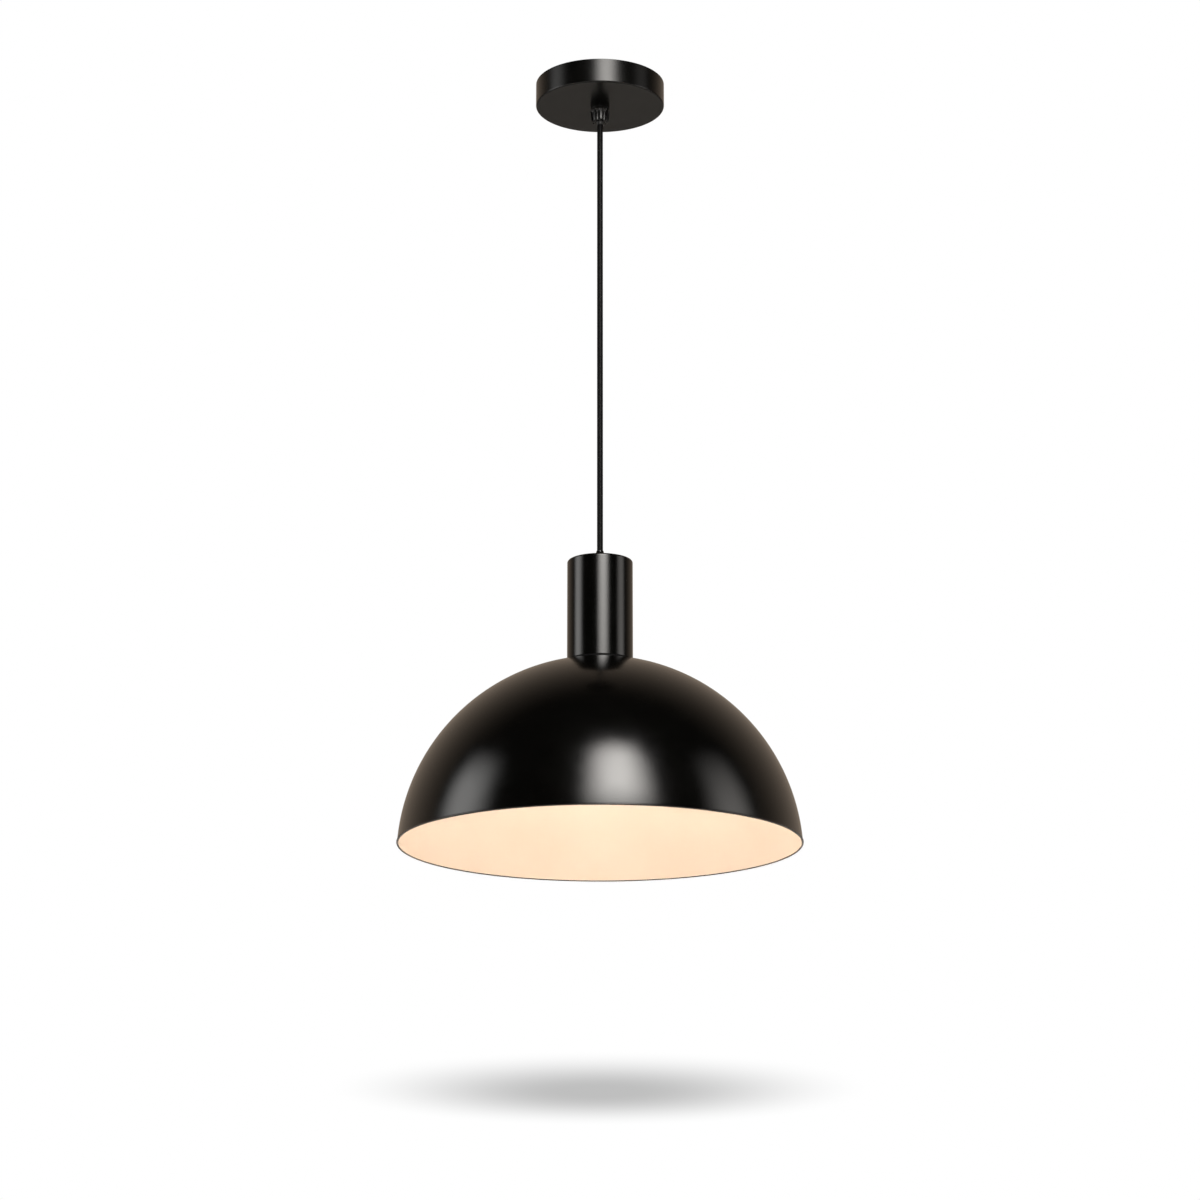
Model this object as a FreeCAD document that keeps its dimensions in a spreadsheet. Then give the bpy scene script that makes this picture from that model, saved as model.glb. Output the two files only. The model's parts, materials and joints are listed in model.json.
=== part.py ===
"""Pendant ceiling light: canopy, cord, socket cup, dome shade and bulb.

Millimetres. The origin is the centre of the ceiling plane, +Z is up, and the light hangs in -Z.
Each piece is drawn about its own zero and placed by a level worked out from the driving dimensions.
"""

import FreeCAD, Part
import math
import os
import types

import Sketcher

DIMENSIONS = [
    ("overall_drop", 726, "ceiling plane to the shade's rim"),
    ("canopy_dia", 120, "canopy cover, outside"),
    ("canopy_height", 23, "canopy cover, ceiling to underside"),
    ("canopy_wall", 1, "sheet of the canopy cover"),
    ("canopy_edge", 1.6, "outside rounding of the canopy's lower edge"),
    ("strap_reach", 57.6, "bracket, centre to the outer face of a tab"),
    ("strap_width", 20, "bracket, across"),
    ("strap_sheet", 1.5, "sheet of the bracket"),
    ("strap_bend", 2.6, "outside radius of the bracket's bends"),
    ("tab_depth", 13.5, "ceiling plane to the end of a tab"),
    ("slot_spacing", 80, "ceiling screw slots, centre to centre"),
    ("slot_length", 12, "ceiling screw slot, end to end"),
    ("slot_width", 5.2, "ceiling screw slot, across"),
    ("cable_hole", 12, "hole in the bracket for the mains cable"),
    ("side_screw_dia", 4, "grub screws that hold the cover on the tabs"),
    ("side_screw_depth", 9, "ceiling plane to the grub screws"),
    ("block_place", 23, "terminal block, middle, out from the cord"),
    ("block_long", 16, "terminal block along the wires"),
    ("block_wide", 19, "terminal block across its two poles"),
    ("block_tall", 12.5, "terminal block height"),
    ("pole_spacing", 10, "pole to pole"),
    ("pole_depth", 5, "top of the block to the middle of its wire holes"),
    ("earth_place", 24, "earth screw, out from the cord"),
    ("earth_screw_dia", 4, "earth screw"),
    ("cord_dia", 5.4, "round three-core cord"),
    ("core_dia", 1.7, "one insulated core"),
    ("core_circle", 1.35, "core centres from the cord's middle"),
    ("stem_dia", 10, "M10 stem of the cord grip and the threaded tube"),
    ("stem_rise", 9, "grip stem above the canopy's inside face"),
    ("grip_top_dia", 18.3, "cord grip, widest"),
    ("grip_low_dia", 15.6, "cord grip nut, lower end"),
    ("grip_flange", 2.2, "grip body's flange under the canopy"),
    ("nut_height", 12.6, "cord grip nut"),
    ("barrel_dia", 12, "threaded barrel that the grip nut turns on"),
    ("barrel_height", 6.5, "threaded barrel below the flange"),
    ("collet_tip", 3, "collet fingers standing out below the nut"),
    ("upper_pivot", 46, "ceiling plane to the cord's upper bend"),
    ("bend_room", 2.75, "bend centre to the square end of a cord run"),
    ("cup_dia", 59.2, "socket cup, outside"),
    ("cup_height", 95.5, "socket cup"),
    ("cup_wall", 1.2, "sheet of the socket cup"),
    ("cup_edge", 2.6, "outside rounding of the cup's top edge"),
    ("bush_height", 9.6, "cord bush above the cup's top"),
    ("lower_pivot", 13, "cup top to the cord's lower bend"),
    ("dome_radius", 179.8, "sphere that the dome's outside lies on"),
    ("dome_height", 168, "rim to the sphere's top"),
    ("dome_wall", 1.2, "sheet of the dome"),
    ("seat_dia", 59.8, "flat seat under the cup"),
    ("seat_hole", 40.6, "hole in the dome for the lampholder"),
    ("lip_dia", 360, "rolled lip, outside"),
    ("lip_section", 1.9, "rolled lip's own thickness"),
    ("skirt_dia", 39.6, "lampholder skirt, outside its thread"),
    ("skirt_bore", 31.2, "lampholder skirt, around the screw shell"),
    ("skirt_drop", 13.5, "skirt below the dome's seat"),
    ("skirt_rise", 26.5, "skirt above the dome's seat"),
    ("shoulder_dia", 46, "skirt's shoulder on the dome's seat"),
    ("shell_bore", 27.1, "E27 screw shell, inside"),
    ("shell_wall", 0.45, "E27 screw shell, sheet"),
    ("ring_dia", 55, "shade ring, outside"),
    ("ring_bore", 40.1, "shade ring, inside its thread"),
    ("washer_sheet", 0.8, "washer between dome and shade ring"),
    ("bulb_cap_dia", 26.4, "E27 lamp cap, outside its thread"),
    ("bulb_dia", 60, "A60 bulb"),
    ("bulb_length", 108, "A60 bulb, contact to end"),
    ("bulb_contact_rise", 12, "dome's seat to the bulb's contact"),
]


class Size:
    """A length that knows its value and the sheet expression that drives it."""

    def __init__(self, text, value):
        self.text = text
        self.value = float(value)

    def __add__(self, other):
        other = as_size(other)
        return Size(f"({self.text} + {other.text})", self.value + other.value)

    def __sub__(self, other):
        other = as_size(other)
        return Size(f"({self.text} - {other.text})", self.value - other.value)

    def __rsub__(self, other):
        return as_size(other) - self

    def __mul__(self, factor):
        factor = as_size(factor)
        return Size(f"({self.text} * {factor.text})", self.value * factor.value)

    def __truediv__(self, divisor):
        divisor = as_size(divisor)
        return Size(f"({self.text} / {divisor.text})", self.value / divisor.value)

    def __neg__(self):
        return Size(f"(0 - {self.text})", -self.value)

    __radd__ = __add__


def as_size(number):
    """A plain number as a Size, and a Size as it is."""
    return number if isinstance(number, Size) else Size(repr(float(number)), number)


def other_leg(hypotenuse, leg):
    """The second leg of a right triangle."""
    square = hypotenuse * hypotenuse - leg * leg
    return Size(f"sqrt({square.text})", math.sqrt(square.value))


doc = FreeCAD.newDocument("pendant_light")
sheet = doc.addObject("Spreadsheet::Sheet", "Dimensions")
for row, (alias, number, note) in enumerate(DIMENSIONS, start=1):
    sheet.set(f"A{row}", alias)
    sheet.set(f"B{row}", str(number))
    sheet.setAlias(f"B{row}", alias)
    sheet.set(f"C{row}", note)
doc.recompute()

dim = types.SimpleNamespace(
    **{alias: Size(f"Dimensions.{alias}", number) for alias, number, note in DIMENSIONS}
)
ZERO = as_size(0)
pieces = []

# Fits that several pieces share: on the cord, in a threaded hole, and under the grip nut.
CORD_GAP = 0.15
SCREW_GAP = 0.05
NUT_GAP = 0.25

# Cord grip.
COLLET_FINGERS = 6
COLLET_SLIT = 0.7
NUT_MOUTH = 4.4
NUT_RIBS = 8
FLUTE_RADIUS = 2.3
FLUTE_DEPTH = 2.0

# Hexagon nuts on M10 threads, across their flats.
NUT_FLATS = 14

# Terminal block.
BLOCK_SCREW = 3.0
SLEEVE_RADIUS = 2.2
SLEEVE_BORE = 1.5
SLEEVE_LONG = 14.0
CLAMP_PLACE = 4.0

# Wires: bend radii of the cores in the canopy and in the lampholder.
CANOPY_BEND = 2.6
SOCKET_BEND = 2.0

# Lampholder levels above the dome's seat, and its contacts' places from the middle.
CAP_TOP = 56.5
CAP_LOW = 14.0
INSULATOR_LOW = 13.8
INSULATOR_TOP = 31.5
INSULATOR_RADIUS = 16.6
SHELL_TOP = 10.4
CENTRE_LEG = 10.6
SHELL_LEG = 14.5
EARTH_TERMINAL = 10.6
TERMINAL_HIGH = 6.0
CORD_IN_HEAD = 53.0
TUBE_ABOVE = 3.6

RING_NOTCHES = 24
RING_HEIGHT = 7.0

# Bulb, below the top of its contact.
BULB_CAP_TOP = 5.4
BULB_CAP_LOW = 27.2
BULB_NECK = 14.6
BULB_SPLIT = 12.5
LED_CHIPS = 12


# ---------------------------------------------------------------- drawing helpers
def bind(thing, sizes):
    """Drive properties of an object by expressions: {property: Size}."""
    for name, length in sizes.items():
        thing.setExpression(name, as_size(length).text)


def place(thing, x=ZERO, y=ZERO, z=ZERO, turn=None):
    """Put an object in place; turn is (axis, degrees)."""
    if turn:
        rotation = FreeCAD.Rotation(FreeCAD.Vector(*turn[0]), turn[1])
        thing.Placement = FreeCAD.Placement(FreeCAD.Vector(), rotation)
    at = {"x": x, "y": y, "z": z}
    bind(thing, {f"Placement.Base.{axis}": length for axis, length in at.items()})
    return thing


def keep(thing, name):
    """Mark an object as a finished sub-part with its node's name."""
    thing.Label = name
    pieces.append(thing)
    return thing


def new_body(name):
    return doc.addObject("PartDesign::Body", name)


def new_sketch(body, name, role="XZ_Plane", offset=ZERO):
    """A sketch on one of the body's own origin planes, moved along the plane's normal."""
    sketch = body.newObject("Sketcher::SketchObject", name)
    plane = [one for one in body.Origin.OriginFeatures if one.Role == role][0]
    sketch.AttachmentSupport = [(plane, "")]
    sketch.MapMode = "FlatFace"
    bind(sketch, {"AttachmentOffset.Base.z": offset})
    return sketch


def arc_between(start, end, radius):
    """The minor arc from start to end; a positive radius turns left. Returns arc and end numbers."""
    chord = end - start
    side = 1 if radius > 0 else -1
    across = FreeCAD.Vector(-chord.y, chord.x, 0).normalize() * side
    reach = math.sqrt(radius * radius - (chord.Length / 2) ** 2)
    centre = start + chord * 0.5 + across * reach
    first, last = (start, end) if side > 0 else (end, start)
    angles = [math.atan2(p.y - centre.y, p.x - centre.x) for p in (first, last)]
    circle = Part.Circle(centre, FreeCAD.Vector(0, 0, 1), abs(radius))
    arc = Part.ArcOfCircle(circle, *angles)
    return arc, ((1, 2) if side > 0 else (2, 1))


def draw_outline(sketch, outline):
    """Draw a closed outline of (across, up) corners; (across, up, radius) starts an arc.

    Every corner's distance from the sketch's origin, and every arc's radius, is a bound constraint.
    """
    corners = [FreeCAD.Vector(as_size(c[0]).value, as_size(c[1]).value, 0) for c in outline]
    first = sketch.GeometryCount
    ends = []
    for number, corner in enumerate(outline):
        start = corners[number]
        end = corners[(number + 1) % len(corners)]
        if len(corner) == 3:
            line, numbers = arc_between(start, end, as_size(corner[2]).value)
        else:
            line, numbers = Part.LineSegment(start, end), (1, 2)
        sketch.addGeometry(line)
        ends.append(numbers)
    for number in range(len(outline)):
        after = (number + 1) % len(outline)
        joined = (first + number, ends[number][1], first + after, ends[after][0])
        sketch.addConstraint(Sketcher.Constraint("Coincident", *joined))
    for number, corner in enumerate(outline):
        point = (first + number, ends[number][0])
        for kind, length in zip(("DistanceX", "DistanceY"), corner):
            length = as_size(length)
            rule = Sketcher.Constraint(kind, -1, 1, *point, length.value)
            place_in_list = sketch.addConstraint(rule)
            bind(sketch, {f"Constraints[{place_in_list}]": length})
        if len(corner) == 3:
            radius = as_size(corner[2])
            radius = radius if radius.value > 0 else -radius
            rule = Sketcher.Constraint("Radius", first + number, radius.value)
            place_in_list = sketch.addConstraint(rule)
            bind(sketch, {f"Constraints[{place_in_list}]": radius})


def draw_circle(sketch, x, y, radius):
    """Draw a circle with bound centre and radius."""
    x, y, radius = as_size(x), as_size(y), as_size(radius)
    centre = FreeCAD.Vector(x.value, y.value, 0)
    circle = Part.Circle(centre, FreeCAD.Vector(0, 0, 1), radius.value)
    number = sketch.addGeometry(circle)
    for kind, length in (("DistanceX", x), ("DistanceY", y)):
        rule = Sketcher.Constraint(kind, -1, 1, number, 3, length.value)
        bind(sketch, {f"Constraints[{sketch.addConstraint(rule)}]": length})
    rule = Sketcher.Constraint("Radius", number, radius.value)
    bind(sketch, {f"Constraints[{sketch.addConstraint(rule)}]": radius})


def draw_slot(sketch, x, length, width):
    """Draw a slot along X, centred on (x, 0), with round ends."""
    radius = width / 2
    half = length / 2 - radius
    corners = [
        (x - half, -radius),
        (x + half, -radius, radius + 0.0001),
        (x + half, radius),
        (x - half, radius, radius + 0.0001),
    ]
    draw_outline(sketch, corners)


def turned(name, outline):
    """A body of revolution about Z; the outline is (radius, height) corners."""
    body = new_body(name)
    sketch = new_sketch(body, f"{name}_profile")
    draw_outline(sketch, outline)
    turn = body.newObject("PartDesign::Revolution", f"{name}_turn")
    turn.Profile = sketch
    turn.ReferenceAxis = (sketch, ["V_Axis"])
    turn.Angle = 360
    return body


def cut_through(body, name, draw, role, reach, offset=ZERO, one_way=False, times=1):
    """Pocket whatever draw(sketch) draws, and repeat the pocket evenly about Z.

    It reaches half of reach to each side of the sketch's plane, or one way upwards.
    """
    doc.recompute()
    before = body.Shape.Volume
    sketch = new_sketch(body, f"{name}_sketch", role, offset)
    draw(sketch)
    pocket = body.newObject("PartDesign::Pocket", name)
    pocket.Profile = sketch
    pocket.SideType = "One side" if one_way else "Symmetric"
    pocket.Reversed = one_way
    bind(pocket, {"Length": reach})
    if times > 1:
        pattern = body.newObject("PartDesign::PolarPattern", f"{name}_around")
        pattern.Originals = [pocket]
        pattern.Axis = (sketch, ["N_Axis" if role == "XY_Plane" else "V_Axis"])
        pattern.Angle = 360
        pattern.Occurrences = times
        body.Tip = pattern
    doc.recompute()
    if body.Shape.Volume >= before - 1e-6:
        raise RuntimeError(f"{name} cut nothing")


def box(name, x, y, z, middle=(ZERO, ZERO, ZERO)):
    """A block centred in X and Y on middle, with its top at middle's Z."""
    x, y, z = as_size(x), as_size(y), as_size(z)
    block = doc.addObject("Part::Box", name)
    bind(block, {"Length": x, "Width": y, "Height": z})
    mx, my, mz = (as_size(m) for m in middle)
    return place(block, mx - x / 2, my - y / 2, mz - z)


def rod(name, radius, length, start=(ZERO, ZERO, ZERO), turn=None):
    """A cylinder from start, along +Z unless turned."""
    cylinder = doc.addObject("Part::Cylinder", name)
    bind(cylinder, {"Radius": radius, "Height": length})
    return place(cylinder, *(as_size(s) for s in start), turn=turn)


def hexagon(name, across_flats, height, start=(ZERO, ZERO, ZERO), turn=None):
    """A six-sided prism, such as a nut or a hexagon socket."""
    prism = doc.addObject("Part::Prism", name)
    prism.Polygon = 6
    bind(prism, {"Circumradius": as_size(across_flats) / math.sqrt(3), "Height": height})
    return place(prism, *(as_size(s) for s in start), turn=turn)


def joined(name, shapes):
    fusion = doc.addObject("Part::MultiFuse", name)
    fusion.Shapes = shapes
    return fusion


def less(name, base, tools):
    """The base with the tools cut away."""
    tool = tools[0] if len(tools) == 1 else joined(f"{name}_tools", tools)
    cut = doc.addObject("Part::Cut", name)
    cut.Base = base
    cut.Tool = tool
    return cut


def group(name, solids):
    """Alike fasteners in one sub-part, each its own solid."""
    compound = doc.addObject("Part::Compound", name)
    compound.Links = solids
    return compound


ALONG_X = ((0, 1, 0), 90)
ALONG_Y = ((1, 0, 0), -90)


# ---------------------------------------------------------------- levels
canopy_bottom = -dim.canopy_height
rim_level = -dim.overall_drop
sphere_drop = dim.dome_radius - dim.dome_height
seat_height = other_leg(dim.dome_radius, dim.seat_dia / 2) - sphere_drop
seat_level = rim_level + seat_height
cup_top = seat_level + dim.cup_height
upper_pivot_level = -dim.upper_pivot
lower_pivot_level = cup_top + dim.lower_pivot
flange_bottom = canopy_bottom - dim.grip_flange
nut_top = flange_bottom - 0.2
nut_bottom = nut_top - dim.nut_height
cord_radius = dim.cord_dia / 2
stem_top = canopy_bottom + dim.canopy_wall + dim.stem_rise


# ---------------------------------------------------------------- ceiling side
def mounting_bracket():
    """A bent steel strap: screw slots, cable hole, and threaded holes for block, earth and cover."""
    reach, sheet_t, bend = dim.strap_reach, dim.strap_sheet, dim.strap_bend
    inner = bend - sheet_t
    corners = [
        (-reach, -dim.tab_depth),
        (-reach + sheet_t, -dim.tab_depth),
        (-reach + sheet_t, -bend, -inner),
        (-reach + bend, -sheet_t),
        (reach - bend, -sheet_t, -inner),
        (reach - sheet_t, -bend),
        (reach - sheet_t, -dim.tab_depth),
        (reach, -dim.tab_depth),
        (reach, -bend, bend),
        (reach - bend, ZERO),
        (-reach + bend, ZERO, bend),
        (-reach, -bend),
    ]
    body = new_body("mounting_bracket")
    sketch = new_sketch(body, "bracket_profile")
    draw_outline(sketch, corners)
    pad = body.newObject("PartDesign::Pad", "bracket_strap")
    pad.Profile = sketch
    pad.SideType = "Symmetric"
    bind(pad, {"Length": dim.strap_width})

    def draw_holes(holes):
        draw_circle(holes, 0, 0, dim.cable_hole / 2)
        draw_circle(holes, -dim.earth_place, 0, dim.earth_screw_dia / 2 + SCREW_GAP)
        draw_circle(holes, dim.block_place, 0, BLOCK_SCREW / 2 + SCREW_GAP)
        for side in (-1, 1):
            draw_slot(holes, dim.slot_spacing * (side / 2), dim.slot_length, dim.slot_width)

    cut_through(body, "bracket_holes", draw_holes, "XY_Plane", dim.strap_sheet * 4)

    def draw_side_holes(holes):
        draw_circle(holes, 0, -dim.side_screw_depth, dim.side_screw_dia / 2 + SCREW_GAP)

    cut_through(body, "bracket_side_holes", draw_side_holes, "YZ_Plane", reach * 2 + 10)
    keep(body, "mounting_bracket")



def canopy_cover():
    """A drawn steel disc cup with a rounded lower edge, a grip hole and two side screw holes."""
    outer = dim.canopy_dia / 2
    wall, edge, low = dim.canopy_wall, dim.canopy_edge, canopy_bottom
    inner_edge = edge - wall
    hole = dim.stem_dia / 2 + 0.2
    corners = [
        (hole, low),
        (outer - edge, low, edge),
        (outer, low + edge),
        (outer, ZERO),
        (outer - wall, ZERO),
        (outer - wall, low + edge, -inner_edge),
        (outer - edge, low + wall),
        (hole, low + wall),
    ]
    body = turned("canopy_cover", corners)

    def draw_side_holes(holes):
        draw_circle(holes, 0, -dim.side_screw_depth, dim.side_screw_dia / 2 + 0.12)

    cut_through(body, "canopy_side_holes", draw_side_holes, "YZ_Plane", outer * 2 + 10)
    keep(body, "canopy_cover")


def canopy_side_screws():
    """Two grub screws with hexagon sockets, almost flush with the cover."""
    long, socket_flats, socket_deep = 4.6, 2.0, 1.8
    outer_end = dim.canopy_dia / 2 - 0.2
    level = -dim.side_screw_depth
    screws = []
    for side in (-1, 1):
        outwards = ((0, 1, 0), 90 * side)
        shank_at = ((outer_end - long) * side, ZERO, level)
        shank = rod("side_screw_shank", dim.side_screw_dia / 2, long, shank_at, outwards)
        socket_at = ((outer_end - socket_deep) * side, ZERO, level)
        socket = hexagon("side_screw_socket", socket_flats, socket_deep * 2, socket_at, outwards)
        screws.append(less("side_screw", shank, [socket]))
    keep(group("side_screws", screws), "canopy_side_screws")


def canopy_grip():
    """The cord grip: threaded body through the cover, its locknut, the collet and the fluted nut."""
    stem, bore = dim.stem_dia / 2, cord_radius + CORD_GAP
    barrel, flange = dim.barrel_dia / 2, dim.grip_top_dia / 2 - 0.3
    barrel_bottom = flange_bottom - dim.barrel_height
    corners = [
        (bore, barrel_bottom),
        (barrel, barrel_bottom),
        (barrel, flange_bottom),
        (flange, flange_bottom),
        (flange, canopy_bottom),
        (stem, canopy_bottom),
        (stem, stem_top),
        (bore, stem_top),
    ]
    keep(turned("grip_body", corners), "grip_body")

    locknut_height = 4
    lock = hexagon("locknut_blank", NUT_FLATS, locknut_height, (ZERO, ZERO, canopy_bottom + dim.canopy_wall))
    hole = rod("locknut_bore", stem + SCREW_GAP, locknut_height + 2, (ZERO, ZERO, canopy_bottom))
    keep(less("locknut", lock, [hole]), "grip_locknut")

    # The collet: a collar under the barrel, a cone that the nut squeezes, and fingers on the cord.
    finger = NUT_MOUTH - 0.4
    collar = barrel - 0.25
    collar_top = barrel_bottom - 0.2
    collar_low = collar_top - 1.2
    slit_top = collar_low - 0.6
    cone_low = nut_bottom + 1.2
    tip = nut_bottom - dim.collet_tip
    corners = [
        (bore, tip),
        (cord_radius + 0.5, tip),
        (finger, tip + 2.2),
        (finger, cone_low),
        (collar, collar_low),
        (collar, collar_top),
        (bore, collar_top),
    ]
    collet = turned("grip_collet", corners)

    def draw_slit(slit):
        reach = collar + 2
        draw_outline(slit, [(ZERO, tip - 1), (reach, tip - 1), (reach, slit_top), (ZERO, slit_top)])

    cut_through(collet, "collet_slit", draw_slit, "XZ_Plane", COLLET_SLIT, times=COLLET_FINGERS)
    keep(collet, "grip_collet")

    # The nut: tapered outside with rounded flutes, so that its ribs end as fingers below.
    top, low = dim.grip_top_dia / 2, dim.grip_low_dia / 2
    inside = barrel + NUT_GAP
    corners = [
        (NUT_MOUTH, nut_bottom),
        (low - 0.8, nut_bottom),
        (low, nut_bottom + 1.2),
        (top, nut_top - 1.5),
        (top - 0.6, nut_top),
        (inside, nut_top),
        (inside, collar_low),
        (NUT_MOUTH, cone_low),
    ]
    nut = turned("grip_nut", corners)

    def draw_flute(flute):
        half_step = math.pi / NUT_RIBS
        away = top + FLUTE_RADIUS - FLUTE_DEPTH
        draw_circle(flute, away * math.sin(half_step), -(away * math.cos(half_step)), FLUTE_RADIUS)

    flute_long = dim.nut_height + 0.2
    flutes = {"offset": nut_bottom - 1, "one_way": True, "times": NUT_RIBS}
    cut_through(nut, "nut_flute", draw_flute, "XY_Plane", flute_long, **flutes)
    keep(nut, "grip_nut")


def terminal_block():
    """A two-pole screw terminal block on the bracket: housing, brass sleeves, screws, fixing screw."""
    top = -dim.strap_sheet
    pole_level = top - dim.pole_depth
    long, wide, tall = dim.block_long, dim.block_wide, dim.block_tall
    x = dim.block_place
    low = top - tall
    beyond = 1
    housing = box("block_housing", long, wide, tall, (x, ZERO, top))
    rounded = doc.addObject("Part::Fillet", "block_rounded")
    rounded.Base = housing
    doc.recompute()
    upright = [
        number
        for number, edge in enumerate(housing.Shape.Edges, start=1)
        if abs(edge.tangentAt(0).z) > 0.9
    ]
    corner = 2.0
    rounded.Edges = [(number, corner, corner) for number in upright]

    well_radius, tap_radius = 1.9, 1.35
    shank_radius, head_radius, head_height = 1.25, 1.75, 1.6
    head_low = low + 1.3
    shank_top = pole_level - dim.core_dia / 2 - 0.15
    cuts = [rod("block_fixing_hole", BLOCK_SCREW / 2 + 0.1, tall + 2 * beyond, (x, ZERO, low - beyond))]
    sleeves = []
    screws = []
    for side in (-1, 1):
        y = dim.pole_spacing * (side / 2)
        hole_at = (x - long / 2 - beyond, y, pole_level)
        cuts.append(rod("block_wire_hole", SLEEVE_RADIUS + 0.1, long + 2 * beyond, hole_at, ALONG_X))
        sleeve_start = x - SLEEVE_LONG / 2
        tube = rod("sleeve_blank", SLEEVE_RADIUS, SLEEVE_LONG, (sleeve_start, y, pole_level), ALONG_X)
        bore_at = (sleeve_start - beyond, y, pole_level)
        bore = rod("sleeve_bore", SLEEVE_BORE, SLEEVE_LONG + 2 * beyond, bore_at, ALONG_X)
        taps = []
        for end in (-1, 1):
            screw_x = x + CLAMP_PLACE * end
            well_at = (screw_x, y, low - beyond)
            cuts.append(rod("block_screw_well", well_radius, pole_level - low + beyond, well_at))
            tap_at = (screw_x, y, pole_level - SLEEVE_RADIUS - beyond)
            taps.append(rod("sleeve_tap", tap_radius, SLEEVE_RADIUS + beyond, tap_at))
            shank = rod("clamp_shank", shank_radius, shank_top - head_low, (screw_x, y, head_low))
            head = rod("clamp_head", head_radius, head_height, (screw_x, y, head_low))
            slot = box("clamp_slot", 4, 0.6, 1.6, (screw_x, y, head_low + 0.8))
            screws.append(less("clamp_screw", joined("clamp_blank", [shank, head]), [slot]))
        sleeves.append(less("sleeve", tube, [bore, *taps]))
    keep(less("block", rounded, cuts), "terminal_block")
    keep(group("sleeves", sleeves), "terminal_sleeves")
    keep(group("clamp_screws", screws), "terminal_screws")

    head_radius, head_height = 2.8, 1.9
    shank = rod("block_screw_shank", BLOCK_SCREW / 2, -low, (x, ZERO, low))
    head = rod("block_screw_head", head_radius, head_height, (x, ZERO, low - head_height))
    slot = box("block_screw_slot", 6, 0.8, 2, (x, ZERO, low - head_height / 2))
    keep(less("block_screw", joined("block_screw_blank", [shank, head]), [slot]), "block_screw")
    return pole_level


def earth_point():
    """The earth screw in the bracket and the crimped ring lug under its head."""
    top = -dim.strap_sheet
    x = -dim.earth_place
    lug_sheet, ring_radius, neck_long, neck_wide = 0.8, 4.2, 5, 3.4
    crimp_radius, crimp_long, crimp_offset = 1.35, 4.5, 7.5
    crimp_level = top - crimp_radius
    ring = rod("lug_ring", ring_radius, lug_sheet, (x, ZERO, top - lug_sheet))
    neck = box("lug_neck", neck_long, neck_wide, lug_sheet, (x + crimp_offset - 2, ZERO, top))
    crimp_at = x + crimp_offset
    crimp = rod("lug_crimp", crimp_radius, crimp_long, (crimp_at, ZERO, crimp_level), ALONG_X)
    hole = rod("lug_hole", dim.earth_screw_dia / 2 + 0.1, 4, (x, ZERO, top - 3))
    core_at = (crimp_at + 0.8, ZERO, crimp_level)
    core = rod("lug_bore", dim.core_dia / 2 + 0.02, crimp_long + 3.5, core_at, ALONG_X)
    keep(less("lug", joined("lug_blank", [ring, neck, crimp]), [hole, core]), "earth_lug")

    low = top - lug_sheet
    head_radius, head_height, slot_long, slot_wide, slot_deep = 3.7, 2.6, 4.6, 1, 1.2
    shank = rod("earth_shank", dim.earth_screw_dia / 2, -low, (x, ZERO, low))
    head = rod("earth_head", head_radius, head_height, (x, ZERO, low - head_height))
    slot_top = low - head_height + slot_deep
    slots = [
        box("earth_slot_a", slot_long, slot_wide, 2 * slot_deep, (x, ZERO, slot_top)),
        box("earth_slot_b", slot_wide, slot_long, 2 * slot_deep, (x, ZERO, slot_top)),
    ]
    keep(less("earth_screw", joined("earth_blank", [shank, head]), slots), "earth_screw")
    return crimp_at + 0.9, crimp_level


# ---------------------------------------------------------------- wires and cord
def wire(name, points, diameter, bend):
    """A round wire along straight runs joined by tangent arcs of one bend radius."""
    places = [FreeCAD.Vector(*(as_size(c).value for c in point)) for point in points]
    edges = []
    start = places[0]
    for before, corner, after in zip(places, places[1:], places[2:]):
        way_in = (corner - before).normalize()
        way_out = (after - corner).normalize()
        half_turn = way_in.getAngle(way_out) / 2
        back = bend * math.tan(half_turn)
        inward = (way_out - way_in).normalize()
        middle = corner + inward * (bend / math.cos(half_turn) - bend)
        arc_start = corner - way_in * back
        arc_end = corner + way_out * back
        edges.append(Part.LineSegment(start, arc_start).toShape())
        edges.append(Part.Arc(arc_start, middle, arc_end).toShape())
        start = arc_end
    edges.append(Part.LineSegment(start, places[-1]).toShape())
    path = Part.Wire(edges)
    direction = (places[1] - places[0]).normalize()
    section = Part.Wire(Part.makeCircle(diameter / 2, places[0], direction))
    solid = path.makePipeShell([section], True, False)
    feature = doc.addObject("Part::Feature", name)
    feature.Shape = solid
    feature.Placement = FreeCAD.Placement()
    length = sum(edge.Length for edge in edges)
    expected = math.pi * diameter * diameter / 4 * length
    if abs(solid.Volume - expected) > 0.02 * expected:
        raise RuntimeError(f"{name} has the wrong volume")
    return keep(feature, name)


def core_start(angle, level):
    """Where a core leaves the cord's end: on the core circle, at this angle."""
    turn = math.radians(angle)
    return dim.core_circle * math.cos(turn), dim.core_circle * math.sin(turn), level


def canopy_wires(pole_level, lug_x, lug_level):
    """The cord's three cores inside the canopy, to the two poles and the earth lug."""
    sheath_end = stem_top + 1
    for name, angle, side in (("canopy_live_wire", 60, 1), ("canopy_neutral_wire", -60, -1)):
        x, y, level = core_start(angle, sheath_end)
        pole_y = dim.pole_spacing * (side / 2)
        points = [
            (x, y, level),
            (x, y, pole_level),
            (dim.block_place - dim.block_long / 2 - 3, pole_y, pole_level),
            (dim.block_place + 5, pole_y, pole_level),
        ]
        wire(name, points, dim.core_dia.value, CANOPY_BEND)
    x, y, level = core_start(180, sheath_end)
    points = [(x, y, level), (x, y, lug_level), (lug_x, y, lug_level)]
    wire("canopy_earth_wire", points, dim.core_dia.value, CANOPY_BEND)
    return sheath_end



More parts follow.
